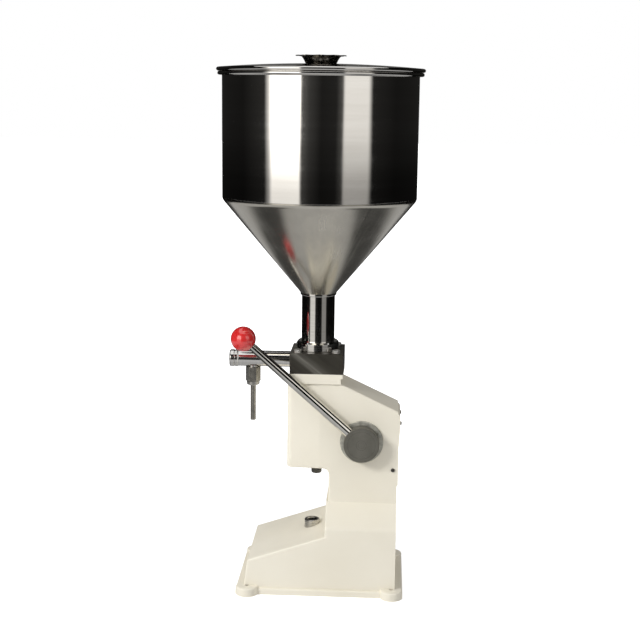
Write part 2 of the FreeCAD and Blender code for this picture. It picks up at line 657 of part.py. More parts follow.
def housing():
    """Column and housing in one casting, open at the rear, with a pad for the pump head."""
    body = new_body("housing")
    plan = [("body_width / 2", "body_rear"), ("-body_width / 2", "body_rear"), ("-body_width / 2", "crease_back"),
            ("-nose_width / 2", "-front_face"), ("nose_width / 2", "-front_face"), ("body_width / 2", "crease_back")]
    shell = pad(body, sketch_on(body, "XY", plan, offset="housing_bottom"), "housing_top - housing_bottom")
    fillet(body, shell, "nose_radius", lambda edge: upright(edge)
                  and abs(edge.Vertexes[0].Y + value("front_face")) < 0.01)
    column = rectangle("-body_width / 2", "body_width / 2", "column_front", "body_rear")
    stand = pad(body, sketch_on(body, "XY", column, offset="foot_top"), "housing_bottom - foot_top")
    fillet(body, stand, "throat_radius", lambda edge: abs(edge.BoundBox.ZMin - value("housing_bottom")) < 0.01
           and edge.BoundBox.ZLength < 0.01 and edge.BoundBox.XLength > value("body_width") - 1
           and abs(edge.BoundBox.YMin - value("column_front")) < 0.01)
    roof = [("roof_start", "housing_top"), ("body_rear", "roof_end"), ("body_rear", "housing_top")]
    slope = pocket(body, sketch_on(body, "YZ", roof), both_ways=True)
    fillet(body, slope, "cast_round", lambda edge: on_sides(edge, "body_width / 2") and edge.BoundBox.ZLength > 1
           and lowest(edge) > value("roof_end") - 0.01
           or level_at(edge, "housing_bottom") and edge.BoundBox.XLength < value("body_width") - 1)
    head_pad = rectangle("-block_side / 2", "block_side / 2", "-block_side / 2", "roof_start")
    pad(body, sketch_on(body, "XY", head_pad, offset="housing_top"), "pad_height")
    boss = Circle(0, 0, "adjuster_head / 2 + edge_break")
    pad(body, sketch_on(body, "XY", boss, offset="boss_bottom"), "boss_drop + floor_wall")
    cavity = [("-pump_bore / 2 - barrel_wall - edge_break", "sump_floor"),
              ("-pump_bore / 2 - barrel_wall - edge_break", "housing_top - roof_wall"),
              ("roof_start", "housing_top - roof_wall"), ("body_rear", "window_high"), ("body_rear", "window_low"),
              ("body_rear - side_wall", "window_low"), ("body_rear - side_wall", "foot_top + foot_wall"),
              ("column_front + side_wall", "foot_top + foot_wall"), ("column_front + side_wall", "sump_floor")]
    pocket(body, sketch_on(body, "YZ", cavity), "2 * cavity_half", both_ways=True)
    barrel = Circle(0, 0, "pump_bore / 2 + barrel_wall + slack")
    pocket(body, sketch_on(body, "XY", barrel, offset="pad_top"), "pad_top - sump_floor")
    bearings = Circle("pivot_back", "pivot_height", "bearing_outer / 2")
    pocket(body, sketch_on(body, "YZ", bearings), both_ways=True)
    pocket(body, sketch_on(body, "XY", Circle(0, 0, "adjuster_size / 2 + slack"), offset="boss_bottom"),
           "boss_drop + floor_wall", backwards=True)
    pocket(body, sketch_on(body, "XY", *head_bolt_circles("bolt_size / 2"), offset="pad_top"), "bolt_grip")
    pocket(body, sketch_on(body, "XY", *foot_bolt_circles("foot_bolt_size / 2"), offset="foot_top"), "foot_wall",
           backwards=True)
    rear_holes = [Circle(f"{way}cover_screw_side", "cover_screw_high", "screw_size / 2") for way in ("", "-")]
    pocket(body, sketch_on(body, "XZ", *rear_holes, offset="-body_rear"), "screw_grip", backwards=True)
    side_holes = Circle("side_screw_back", "side_screw_height", "screw_size / 2")
    pocket(body, sketch_on(body, "YZ", side_holes), both_ways=True)
    return [body]


def rear_cover():
    """Cover over the rear window, bulged at its upper half, with two lugs inside the walls."""
    body = new_body("rear_cover")
    side = [("body_rear", "cover_low"), ("body_rear + cover_thin", "cover_low"), ("body_rear + cover_thin", "cover_step"),
            ("body_rear + cover_bulge", "cover_full"), ("body_rear + cover_bulge", "cover_top - cover_bulge"),
            ("body_rear + cover_thin", "cover_top"), ("body_rear", "cover_top")]
    pad(body, sketch_on(body, "YZ", side), "body_width", both_ways=True)
    lug = rectangle("side_screw_back - lug_height / 2", "body_rear",
                    "side_screw_height - lug_height / 2", "side_screw_height + lug_height / 2")
    lug[0] = (lug[0][0], "window_low + lug_gap")
    lug[1] = (lug[1][0], "window_low + lug_gap")
    pad(body, sketch_on(body, "YZ", lug), "2 * (cavity_half - lug_gap)", both_ways=True)
    pocket(body, sketch_on(body, "YZ", lug), "2 * (cavity_half - lug_gap - lug_thick)", both_ways=True)
    rear_holes = [Circle(f"{way}cover_screw_side", "cover_screw_high", "screw_size / 2") for way in ("", "-")]
    pocket(body, sketch_on(body, "XZ", *rear_holes), both_ways=True)
    side_holes = Circle("side_screw_back", "side_screw_height", "screw_size / 2")
    pocket(body, sketch_on(body, "YZ", side_holes), both_ways=True)
    return [body]


def cover_screws():
    """Two screws from behind and one from each side hold the rear cover."""
    pieces = [screw(f"cover_screw_rear_{number}", "screw_size", "screw_grip + cover_bulge", "screw_head",
                    "screw_head_height", x=f"{way}cover_screw_side", y="body_rear - screw_grip",
                    z="cover_screw_high", axis=(1, 0, 0), angle=-90)
              for number, way in enumerate(("", "-"))]
    pieces += [screw(f"cover_screw_side_{number}", "screw_size", "side_wall + lug_gap + lug_thick", "screw_head",
                     "screw_head_height", x=f"{way}(cavity_half - lug_gap - lug_thick)", y="side_screw_back",
                     z="side_screw_height", **along)
               for number, (way, along) in enumerate((("", ALONG_X), ("-", ALONG_MINUS_X)))]
    return [group("cover_screws", pieces)]


def shaft_bearings():
    """Flanged bearing and bronze bush in each wall."""
    nodes = []
    holder = [("bush_outer", "-bearing_depth"), ("bearing_outer / 2", "-bearing_depth"), ("bearing_outer / 2", 0),
              ("bearing_flange / 2", 0), ("bearing_flange / 2", "bearing_plate - edge_break"),
              ("bearing_flange / 2 - edge_break", "bearing_plate"), ("bush_outer", "bearing_plate")]
    bush = tube("shaft_size / 2 + slack", "bush_outer", "-bearing_depth", "bearing_plate")
    for side, way, along in (("near", "", ALONG_X), ("far", "-", ALONG_MINUS_X)):
        where = {"x": way + "face_near", "y": "pivot_back", "z": "pivot_height", **along}
        nodes.append(turned("bearing_" + side, holder, **where))
        nodes.append(turned("bush_" + side, bush, **where))
    return nodes


# Pump head

def head_bolt_circles(radius):
    """Four holes round the pump axis."""
    return [Circle(f"{x}bolt_place", f"{y}bolt_place", radius) for x in ("", "-") for y in ("", "-")]


def square():
    """Outline of the block and the plate under it."""
    return rectangle("-block_side / 2", "block_side / 2", "-block_side / 2", "block_side / 2")


def head_plate():
    """Plate between housing and block, round the cylinder's flange."""
    body = new_body("head_plate")
    plate = pad(body, sketch_on(body, "XY", square(), offset="pad_top"), "plate_thick")
    fillet(body, plate, "edge_break", upright)
    holes = [Circle(0, 0, "barrel_flange / 2 + slack"), *head_bolt_circles("bolt_size / 2 + slack")]
    pocket(body, sketch_on(body, "XY", *holes, offset="block_bottom"), "plate_thick")
    return [body]


def valve_block():
    """Square block: neck seat and inlet seat from above, ball chamber, outlet socket in its front."""
    body = new_body("valve_block")
    block = pad(body, sketch_on(body, "XY", square(), offset="block_bottom"), "block_height")
    fillet(body, block, "edge_break", lambda edge: upright(edge)
           or edge.CenterOfMass.z > value("block_top") - 0.01)
    for radius, top, depth in (("neck_size / 2 + slack", "block_top", "neck_sink"),
                               ("seat_size / 2", "seat_top", "seat_height"),
                               ("chamber_size / 2", "seat_bottom", "seat_bottom - block_bottom"),
                               ("retainer_size / 2", "retainer_top", "retainer_height")):
        pocket(body, sketch_on(body, "XY", Circle(0, 0, radius), offset=top), depth)
    pocket(body, sketch_on(body, "XY", *head_bolt_circles("bolt_size / 2 + slack"), offset="block_top"), "block_height")
    for radius, start, depth in (("outlet_throat / 2", 0, "block_side / 2"),
                                 ("tube_size / 2", "tube_start", "tube_socket")):
        pocket(body, sketch_on(body, "XZ", Circle(0, "tube_axis", radius), offset=start), depth, backwards=True)
    return [body]


def head_bolts():
    """Four bolts through block and plate into the housing."""
    bolts = [screw(f"head_bolt_{number}", "bolt_size", "bolt_grip + plate_thick + block_height", "bolt_flats",
                   "bolt_head", flats=True, x=f"{x}bolt_place", y=f"{y}bolt_place", z="pad_top - bolt_grip")
             for number, (x, y) in enumerate((x, y) for x in ("", "-") for y in ("", "-"))]
    return [group("head_bolts", bolts)]


def ball(label, size, **where):
    """A valve ball."""
    sphere = doc.addObject("Part::Sphere", label)
    bind(sphere, "Radius", f"{size} / 2")
    place(sphere, **where)
    return sphere


def spring(label, turns, height, **where):
    """A coil of round wire, swept along a helix."""
    coil = doc.addObject("Part::Helix", label + "_coil")
    bind(coil, "Pitch", f"({height}) / {turns}")
    bind(coil, "Height", height)
    bind(coil, "Radius", "spring_radius")
    wire = doc.addObject("Part::Circle", label + "_wire")
    bind(wire, "Radius", "spring_wire / 2")
    place(wire, x="spring_radius", axis=(1, 0, 0),
          angle=f"atan(({height}) / {turns} / (2 * pi * spring_radius)) / 1 deg - 90")
    doc.recompute()
    sweep = doc.addObject("Part::Sweep", label)
    sweep.Sections = [wire]
    sweep.Spine = (coil, [f"Edge{number}" for number in range(1, len(coil.Shape.Edges) + 1)])
    sweep.Solid = True
    sweep.Frenet = True
    place(sweep, **where)
    return sweep


def inlet_valve():
    """Seat, ball, spring and retainer on the pump axis; the ball opens downwards."""
    funnel = [("inlet_hole / 2", "seat_bottom"), ("seat_size / 2", "seat_bottom"), ("seat_size / 2", "seat_top"),
              ("seat_size / 2 - edge_break", "seat_top"), ("inlet_hole / 2", "seat_bottom + head_seal_width")]
    seat = turned("inlet_seat", funnel)
    retainer = new_body("ball_retainer")
    pad(retainer, sketch_on(retainer, "XY", Circle(0, 0, "retainer_size / 2"), offset="block_bottom"), "retainer_height")
    flow = [Circle(f"retainer_pitch * cos({angle})", f"retainer_pitch * sin({angle})", "retainer_hole / 2")
            for angle in range(30, 390, 60)]
    pocket(retainer, sketch_on(retainer, "XY", *flow, offset="retainer_top"), "retainer_height")
    coil = spring("inlet_spring", "inlet_turns", "inlet_ball_place - inlet_ball_size / 2 - retainer_top - spring_wire",
                  z="retainer_top + spring_wire / 2")
    return [seat, ball("inlet_ball", "inlet_ball_size", z="inlet_ball_place"), coil, retainer]


# Pump

def pump_cylinder():
    """Flanged cylinder hanging in the housing, with the seal under the block."""
    groove_in = "pump_bore / 2 + seal_land"
    groove_out = groove_in + " + head_seal_width"
    outline = [("pump_bore / 2", "barrel_bottom"), ("pump_bore / 2 + barrel_wall", "barrel_bottom"),
               ("pump_bore / 2 + barrel_wall", "pad_top"), ("barrel_flange / 2", "pad_top"),
               ("barrel_flange / 2", "block_bottom"), (groove_out, "block_bottom"),
               (groove_out, "block_bottom - head_seal_height"), (groove_in, "block_bottom - head_seal_height"),
               (groove_in, "block_bottom"), ("pump_bore / 2", "block_bottom")]
    seal = tube(groove_in, groove_out, "block_bottom - head_seal_height", "block_bottom")
    return [turned("pump_cylinder", outline), turned("head_seal", seal)]


def piston():
    """Piston with two seals, its rod, the crosshead fork, and the pin with its clips."""
    wall = "pump_bore / 2 - slack"
    groove = wall + " - seal_depth"
    outline = [(0, "piston_bottom + rod_socket"), ("rod_size / 2", "piston_bottom + rod_socket"),
               ("rod_size / 2", "piston_bottom"), (wall, "piston_bottom")]
    rings = []
    for number, top in enumerate(("piston_top - crown_land - seal_pitch", "piston_top - crown_land")):
        low = top + " - seal_height"
        outline += [(wall, low), (groove, low), (groove, top), (wall, top)]
        rings.append(turned(f"piston_seal_{number}", tube(groove, "pump_bore / 2 - slack / 2", low, top)))
    outline += [(wall, "piston_top"), (0, "piston_top")]
    rod = turned("piston_rod", tube(0, "rod_size / 2", "fork_top - rod_seat", "piston_bottom + rod_socket"))

    fork = new_body("crosshead")
    block = rectangle("-fork_half", "fork_half", "-fork_depth / 2", "fork_depth / 2")
    pad(fork, sketch_on(fork, "XY", block, offset="pin_high - fork_below"), "fork_top - pin_high + fork_below")
    slot_half = "(arm_thick / 2 + fork_play)"
    slot = rectangle("-" + slot_half, slot_half, "pin_high - fork_below", "pin_high + fork_above")
    pocket(fork, sketch_on(fork, "XZ", slot), both_ways=True)
    pocket(fork, sketch_on(fork, "YZ", Circle(0, "pin_high", "pin_size / 2")), both_ways=True)
    pocket(fork, sketch_on(fork, "XY", Circle(0, 0, "rod_size / 2"), offset="fork_top"), "rod_seat")

    end = "fork_half + clip_height + pin_tail"
    pin = turned("crosshead_pin", tube(0, "pin_size / 2", f"-({end})", end), z="pin_high", **ALONG_X)
    clip = tube("pin_size / 2", "pin_size / 2 + clip_width", "fork_half", "fork_half + clip_height")
    clips = [turned(f"pin_clip_{number}", clip, z="pin_high", **along)
             for number, along in enumerate((ALONG_X, ALONG_MINUS_X))]
    return [turned("piston", outline), group("piston_seals", rings), rod, fork, pin, group("pin_clips", clips)]


# Lever

def on_shaft(body, angle="lever_lean"):
    """Put a body on the lever shaft, its +Z side leaning forward along the lever or by another angle."""
    place(body, y="pivot_back", z="pivot_height", axis=(1, 0, 0), angle=angle)
    return body


def crank_arm():
    """Arm inside the housing; its slot carries the crosshead pin."""
    body = new_body("crank_arm")
    eye_x = "-arm_long - eye_radius * sin(arm_taper)"
    boss_x = "-arm_boss / 2 * sin(arm_taper)"
    outline = [(eye_x, "eye_radius * cos(arm_taper)"),
               Arc(eye_x, "-eye_radius * cos(arm_taper)", "eye_radius", 1),
               (boss_x, "-arm_boss / 2 * cos(arm_taper)"),
               Arc("arm_boss / 2", 0, "arm_boss / 2", 1),
               Arc(boss_x, "arm_boss / 2 * cos(arm_taper)", "arm_boss / 2", 1)]
    pad(body, sketch_on(body, "YZ", outline), "arm_thick", both_ways=True)
    pad(body, sketch_on(body, "YZ", Circle(0, 0, "arm_boss / 2")), "arm_boss_length", both_ways=True)
    half = "pin_size / 2 + pin_play"
    slot = [Arc("-arm_short", half, half, 1), ("-arm_long", half), Arc(f"-arm_long - {half}", 0, half, 1),
            Arc("-arm_long", f"-({half})", half, 1), ("-arm_short", f"-({half})"), Arc(f"-arm_short + {half}", 0, half, 1)]
    pocket(body, sketch_on(body, "YZ", slot), both_ways=True)
    pocket(body, sketch_on(body, "YZ", Circle(0, 0, "shaft_size / 2")), both_ways=True)
    pocket(body, sketch_on(body, "XY", Circle(0, 0, "arm_pin_size / 2")), both_ways=True)
    return on_shaft(body, "-arm_angle")


def key_outline():
    """Square key half sunk in the shaft, on the side away from the lever."""
    return rectangle("-key_size / 2", "key_size / 2", "-shaft_size / 2 - key_size / 2",
                     "-shaft_size / 2 + key_size / 2")


def lever_shaft():
    """Shaft through both bearings, with a keyway under the hub and a cross hole for the arm's pin."""
    body = new_body("lever_shaft")
    pad(body, sketch_on(body, "YZ", Circle(0, 0, "shaft_size / 2"), offset="-shaft_far"), "shaft_far + shaft_near")
    pocket(body, sketch_on(body, "YZ", key_outline(), offset="shaft_near"), "key_length")
    cross_hole = sketch_on(body, "XY", Circle(0, 0, "arm_pin_size / 2"), tilt="-arm_angle - lever_lean")
    pocket(body, cross_hole, both_ways=True)
    return on_shaft(body)


def lever_hub():
    """Round hub on the shaft's end; the lever rod stands in its rim."""
    body = new_body("lever_hub")
    disc = pad(body, sketch_on(body, "YZ", Circle(0, 0, "hub_size / 2"), offset="hub_start"), "hub_length")
    fillet(body, disc, "edge_break", lambda edge: edge.CenterOfMass.x > value("hub_end") - 0.01)
    pocket(body, sketch_on(body, "YZ", Circle(0, 0, "shaft_size / 2"), offset="hub_start"),
           "hub_length - hub_face_wall", backwards=True)
    pocket(body, sketch_on(body, "YZ", key_outline(), offset="hub_start"), "hub_length - hub_face_wall", backwards=True)
    pocket(body, sketch_on(body, "XY", Circle("hub_middle", 0, "lever_thick / 2"),
                           offset="hub_size / 2 - lever_socket"), "lever_socket + edge_break", backwards=True)
    pocket(body, sketch_on(body, "XY", Circle("hub_middle", 0, "set_screw_size / 2"), offset="-key_top"), "hub_size")
    return on_shaft(body)


def lever():
    """Everything that turns with the lever."""
    key = new_body("hub_key")
    pad(key, sketch_on(key, "YZ", key_outline(), offset="shaft_near - key_length"), "key_length")
    hub_screw = new_body("hub_set_screw")
    pad(hub_screw, sketch_on(hub_screw, "XY", Circle("hub_middle", 0, "set_screw_size / 2"), offset="-key_top"),
        "hub_size / 2 - set_screw_inset - key_top", backwards=True)
    pin_half = "(arm_boss / 2 - set_screw_inset)"
    arm_pin = on_shaft(turned("arm_pin", tube(0, "arm_pin_size / 2", "-" + pin_half, pin_half)), "-arm_angle")
    rod = [(0, "hub_size / 2 - lever_socket"), ("lever_thick / 2", "hub_size / 2 - lever_socket"),
           ("lever_thick / 2", "hub_size"), ("lever_thin / 2", "ball_seat"), ("ball_stud / 2", "ball_seat"),
           ("ball_stud / 2", "ball_seat + ball_socket"), (0, "ball_seat + ball_socket")]
    knob = [(0, "ball_seat + ball_socket"), ("ball_stud / 2", "ball_seat + ball_socket"), ("ball_stud / 2", "ball_seat"),
            ("lever_thin / 2", "ball_seat"), Arc("ball_size / 2", "lever_reach", "ball_size / 2", 1),
            Arc(0, "lever_reach + ball_size / 2", "ball_size / 2", 1)]
    outwards = {"x": "hub_middle", "y": "pivot_back", "z": "pivot_height", "axis": (1, 0, 0), "angle": "lever_lean"}
    far = {"y": "pivot_back", "z": "pivot_height", **ALONG_MINUS_X}
    washer = tube("shaft_size / 2 + slack", "washer_size / 2", "washer_start", "clip_start")
    clip = tube("shaft_size / 2", "shaft_size / 2 + clip_width", "clip_start", "clip_start + clip_height")
    return [lever_shaft(), lever_hub(), on_shaft(key), on_shaft(hub_screw), crank_arm(), arm_pin,
            turned("lever_rod", rod, **outwards),
            turned("ball_knob", knob, **outwards), turned("shaft_washer", washer, **far), turned("shaft_clip", clip, **far)]


def stroke_screw():
    """Screw under the housing that stops the piston, with its lock nut."""
    neck = "adjuster_low + adjuster_head_height"
    outline = [(0, "adjuster_low"), ("adjuster_head / 2 - edge_break", "adjuster_low"),
               ("adjuster_head / 2", "adjuster_low + edge_break"), ("adjuster_head / 2", neck),
               ("adjuster_size / 2", neck), ("adjuster_size / 2", "adjuster_top"), (0, "adjuster_top")]
    nut = new_body("lock_nut")
    pad(nut, sketch_on(nut, "XY", hexagon("lock_flats"), offset="boss_bottom - lock_height"), "lock_height")
    pocket(nut, sketch_on(nut, "XY", Circle(0, 0, "adjuster_size / 2 + slack"), offset="boss_bottom"), "lock_height")
    return [turned("stroke_screw", outline), nut]


# Outlet

def outlet_tube():
    """Tube from the block to the front, with the branch for the nozzle under it."""
    body = new_body("outlet_tube")
    turn(body, sketch_on(body, "XZ", tube(0, "tube_size / 2", "tube_start", "tube_end")))
    pad(body, sketch_on(body, "XZ", Circle(0, "nozzle_place", "branch_size / 2")), "branch_end")
    bore = [(0, "tube_start"), ("outlet_throat / 2", "tube_start"), ("outlet_throat / 2", "outlet_seat_place"),
            ("tube_bore", "outlet_seat_place"), ("tube_bore", "tube_end"), (0, "tube_end")]
    turn(body, sketch_on(body, "XZ", bore), "Groove")
    pocket(body, sketch_on(body, "XZ", Circle(0, "nozzle_place", "branch_bore / 2")), "branch_end", backwards=True)
    place(body, z="tube_axis", **TO_FRONT)
    return body


def outlet():
    """Outlet tube with its check valve, end cap and gasket."""
    front = {"z": "tube_axis", **TO_FRONT}
    seat = turned("outlet_seat", tube("outlet_hole / 2", "tube_bore", "outlet_seat_place", "outlet_seat_end"), **front)
    marble = ball("outlet_ball", "outlet_ball_size", y="-outlet_ball_place", z="tube_axis")
    coil_start = "outlet_ball_place + outlet_ball_size / 2"
    coil = spring("outlet_spring", "outlet_turns", f"stem_end - ({coil_start}) - spring_wire",
                  y=f"-({coil_start} + spring_wire / 2)", z="tube_axis", **TO_FRONT)
    plug = "tube_end - cap_plug"
    cap = [(0, "stem_end"), ("stem_size / 2", "stem_end"), ("stem_size / 2", plug), ("tube_bore", plug),
           ("tube_bore", "cap_start"), ("cap_size / 2 - cap_round", "cap_start"),
           Arc("cap_size / 2", "cap_start + cap_round", "cap_round", 1), ("cap_size / 2", "cap_end - cap_round"),
           Arc("cap_size / 2 - cap_round", "cap_end", "cap_round", 1), (0, "cap_end")]
    gasket = tube("tube_bore", "tube_size / 2", "tube_end", "cap_start")
    return [outlet_tube(), seat, marble, coil, turned("end_cap", cap, **front), turned("cap_gasket", gasket, **front)]


def nozzle():
    """Union nut, ferrule and the thin nozzle tube under the branch."""
    nut = new_body("nozzle_nut")
    pad(nut, sketch_on(nut, "XY", hexagon("nut_flats"), offset="nut_bottom"), "nut_height")
    for level, way in (("nut_top", "-"), ("nut_bottom", "+")):
        corner = [("nut_flats / 2", level), ("nut_corner + edge_break", level),
                  ("nut_corner + edge_break", f"{level} {way} (nut_corner + edge_break - nut_flats / 2) / 2")]
        turn(nut, sketch_on(nut, "XZ", corner), "Groove")
    pocket(nut, sketch_on(nut, "XY", Circle(0, 0, "branch_size / 2"), offset="nut_top"), "nut_top - branch_bottom")
    pocket(nut, sketch_on(nut, "XY", Circle(0, 0, "nozzle_end / 2"), offset="nut_top"), "nut_height")
    place(nut, y="-nozzle_place")
    ferrule = [("nozzle_end / 2", "ferrule_bottom"), ("ferrule_size / 2 - edge_break", "ferrule_bottom"),
               ("ferrule_size / 2", "ferrule_bottom + edge_break"), ("ferrule_size / 2", "nut_bottom"),
               ("nozzle_end / 2", "nut_bottom")]
    nozzle_bore = "nozzle_size / 2 - nozzle_wall"
    neck = "ferrule_bottom - nozzle_relief"
    pipe = [(nozzle_bore, "nozzle_tip"), ("nozzle_size / 2", "nozzle_tip"), ("nozzle_size / 2", neck),
            ("nozzle_end / 2", neck), ("nozzle_end / 2", "branch_bottom"), (nozzle_bore, "branch_bottom")]
    return [nut, turned("ferrule", ferrule, y="-nozzle_place"), turned("nozzle_tube", pipe, y="-nozzle_place")]


# Hopper

def hopper():
    """Neck, cone and wall with its rolled rim, and the collar and seal at the block."""
    neck_in = "neck_size / 2 - neck_wall"
    neck = [(neck_in, "neck_bottom"), ("neck_size / 2", "neck_bottom"), ("neck_size / 2", "cone_bottom - neck_rim_height"),
            ("neck_rim / 2", "cone_bottom - neck_rim_height"), ("neck_rim / 2", "cone_bottom"), (neck_in, "cone_bottom")]
    seal = tube(neck_in, "neck_size / 2", "seat_top", "neck_bottom")
    collar_top = "block_top + collar_height"
    collar = [("neck_size / 2 + slack", "block_top"), ("collar_size / 2", "block_top"),
              ("collar_size / 2", collar_top + " - collar_chamfer"), ("collar_size / 2 - collar_chamfer", collar_top),
              ("neck_size / 2 + slack", collar_top)]
    cone = [("neck_rim / 2", "cone_bottom"),
            ("hopper_radius - bend_reach * sin(cone_lean)", "cone_top - bend_reach * cos(cone_lean)"),
            Arc("hopper_radius", "wall_bottom", "bend_radius", 1), ("hopper_inside", "wall_bottom"),
            Arc("hopper_inside - inner_reach * sin(cone_lean)", "inner_corner - inner_reach * cos(cone_lean)",
                "bend_inner", -1), ("neck_rim / 2 - cone_sheet", "cone_bottom")]
    wall = [("hopper_inside", "wall_bottom"), ("hopper_radius", "wall_bottom"),
            ("hopper_radius", "rim_height - rim_roll"), ("rim_middle", "rim_height - rim_roll"),
            Arc("rim_middle + rim_roll", "rim_height", "rim_roll", 1),
            Arc("rim_middle", "rim_height + rim_roll", "rim_roll", 1),
            ("hopper_inside + rim_roll", "rim_height + rim_roll"), Arc("hopper_inside", "rim_height", "rim_roll", 1)]
    return [turned("hopper_neck", neck), turned("neck_seal", seal), turned("hopper_collar", collar),
            turned("hopper_cone", cone), turned("hopper_wall", wall)]


def lid():
    """Domed lid with a rolled rim and a locating skirt, its dished knob and the screw from below."""
    dome = [(0, "lid_under"), Arc("skirt_inside", "lid_under_edge", "lid_under_curve", -1),
            ("skirt_inside", "skirt_bottom"), ("skirt_radius", "skirt_bottom"), ("skirt_radius", "lid_edge_bottom"),
            ("lid_roll_middle", "lid_edge_bottom"), Arc("lid_size / 2", "lid_roll_height", "rim_roll", 1),
            Arc("lid_roll_middle", "lid_edge_top", "rim_roll", 1), Arc(0, "lid_top", "lid_curve", 1)]
    cover = turned("lid", dome)
    hole = Circle(0, 0, "knob_screw_size / 2")
    pocket(cover, sketch_on(cover, "XY", hole, offset="lid_top"), "lid_sheet * 2")
    brim_low = "knob_top - knob_brim"
    dish = [(0, "lid_top"), ("knob_foot / 2", "lid_top"), Arc("knob_bowl / 2", brim_low, "knob_curve", 1),
            ("knob_size / 2", brim_low), ("knob_size / 2", "knob_top"), ("knob_bowl / 2", "knob_top"),
            ("knob_foot / 2", "knob_top - knob_dish"), (0, "knob_top - knob_dish")]
    knob = turned("lid_knob", dish)
    ring_radius = "(knob_size / 2 + scallop_size / 2 - scallop_bite)"
    bites = [Circle(f"{ring_radius} * cos({angle})", f"{ring_radius} * sin({angle})", "scallop_size / 2")
             for angle in range(0, 360, 36)]
    pocket(knob, sketch_on(knob, "XY", *bites, offset="knob_top"), "knob_brim")
    pocket(knob, sketch_on(knob, "XY", hole, offset="lid_top"), "knob_screw_grip", backwards=True)
    head_seat = "knob_screw_grip + lid_sheet + knob_screw_head ^ 2 / (8 * lid_under_curve)"
    fixing = screw("knob_screw", "knob_screw_size", head_seat, "knob_screw_head",
                   "screw_head_height", z="lid_top + knob_screw_grip", axis=(1, 0, 0), angle=180)
    return [cover, knob, fixing]


def build():
    """Every node of the machine."""
    sections = (base_casting, foot_bolts, rest_socket, housing, rear_cover, cover_screws, shaft_bearings, head_plate,
                valve_block, head_bolts, inlet_valve, pump_cylinder, piston, lever, stroke_screw, outlet, nozzle,
                hopper, lid)
    return [node for section in sections for node in section()]


def check_and_write(nodes):
    """Stop on any failed object or bad shape, then write one file for each node."""
    doc.recompute()
    for thing in doc.Objects:
        if {"Invalid", "Error"} & set(thing.State):
            raise RuntimeError(f"{thing.Label} failed: {thing.State}")
    for node in nodes:
        if node.Shape.isNull() or not node.Shape.isValid() or not node.Shape.Solids:
            raise RuntimeError(f"{node.Label} has no valid shape")
    os.makedirs("parts", exist_ok=True)
    for node in nodes:
        node.Shape.exportStep(f"parts/{node.Label}.step")


check_and_write(build())
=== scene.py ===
"""Looks of the hand-lever filling machine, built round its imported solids.

The frame is in metres; sizes of pieces are given in millimetres and scaled when their meshes are made.
+Z is up, the nozzle faces -Y and the lever is on the +X side.
"""

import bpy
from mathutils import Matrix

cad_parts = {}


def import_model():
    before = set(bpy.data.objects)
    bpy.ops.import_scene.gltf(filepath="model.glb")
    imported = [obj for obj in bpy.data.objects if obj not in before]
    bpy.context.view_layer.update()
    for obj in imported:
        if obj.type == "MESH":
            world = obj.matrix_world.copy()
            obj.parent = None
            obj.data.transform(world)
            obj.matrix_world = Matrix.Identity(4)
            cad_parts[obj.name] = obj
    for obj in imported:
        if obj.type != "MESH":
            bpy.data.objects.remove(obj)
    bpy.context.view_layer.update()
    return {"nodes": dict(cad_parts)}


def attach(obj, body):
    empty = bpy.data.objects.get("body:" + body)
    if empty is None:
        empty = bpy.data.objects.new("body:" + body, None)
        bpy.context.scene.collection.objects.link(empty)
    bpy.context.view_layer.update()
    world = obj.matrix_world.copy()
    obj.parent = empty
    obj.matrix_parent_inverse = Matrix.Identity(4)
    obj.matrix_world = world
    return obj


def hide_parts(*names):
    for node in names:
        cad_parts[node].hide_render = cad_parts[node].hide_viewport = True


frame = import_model()

import math

import bmesh
import bpy
from mathutils import Matrix, Vector

scene = bpy.context.scene
nodes = frame["nodes"]
MM = 0.001

# Places that several pieces or materials share, in millimetres

LEVER_MIDDLE = (46.75, 65.2, 215.4)
NOZZLE_PLACE = (0, -92.3, 0)
OUTLET_HEIGHT = 325.0
BLOCK_TOP = 341.0


def in_metres(place):
    """A place in millimetres, as the materials want it."""
    return tuple(part * MM for part in place)


# Camera, where the photograph was taken from

CAMERA_PLACE = (1.7390527, 0.0936334, 0.7053395)
CAMERA_YAW = -0.0523249
CAMERA_PITCH = 0.1833161
CAMERA_ROLL = -0.0117706
FOCAL_PIXELS = 1249.848
IMAGE_WIDTH = 640
SENSOR_WIDTH = 36


def place_camera():
    """The camera at the photograph's place and angle."""
    ahead = Vector((-math.cos(CAMERA_YAW) * math.cos(CAMERA_PITCH),
                    math.sin(CAMERA_YAW) * math.cos(CAMERA_PITCH),
                    -math.sin(CAMERA_PITCH)))
    level_right = ahead.cross(Vector((0, 0, 1))).normalized()
    level_up = level_right.cross(ahead)
    right = level_right * math.cos(CAMERA_ROLL) - level_up * math.sin(CAMERA_ROLL)
    up = level_right * math.sin(CAMERA_ROLL) + level_up * math.cos(CAMERA_ROLL)
    data = bpy.data.cameras.new("camera")
    data.sensor_width = SENSOR_WIDTH
    data.lens = FOCAL_PIXELS * SENSOR_WIDTH / IMAGE_WIDTH
    camera = bpy.data.objects.new("camera", data)
    scene.collection.objects.link(camera)
    turn = Matrix((right, up, -ahead)).transposed().to_4x4()
    camera.matrix_world = Matrix.Translation(CAMERA_PLACE) @ turn
    scene.camera = camera


# Building blocks of the materials

LOW_NOISE, HIGH_NOISE = 0.3, 0.7


def add(tree, kind, inputs=(), **settings):
    """A shader node; each input is given as a number or as another node's output."""
    made = tree.nodes.new("ShaderNode" + kind)
    for name, setting in settings.items():
        setattr(made, name, setting)
    for socket, given in dict(inputs).items():
        if isinstance(given, bpy.types.NodeSocket):
            tree.links.new(given, made.inputs[socket])
        else:
            made.inputs[socket].default_value = given
    return made


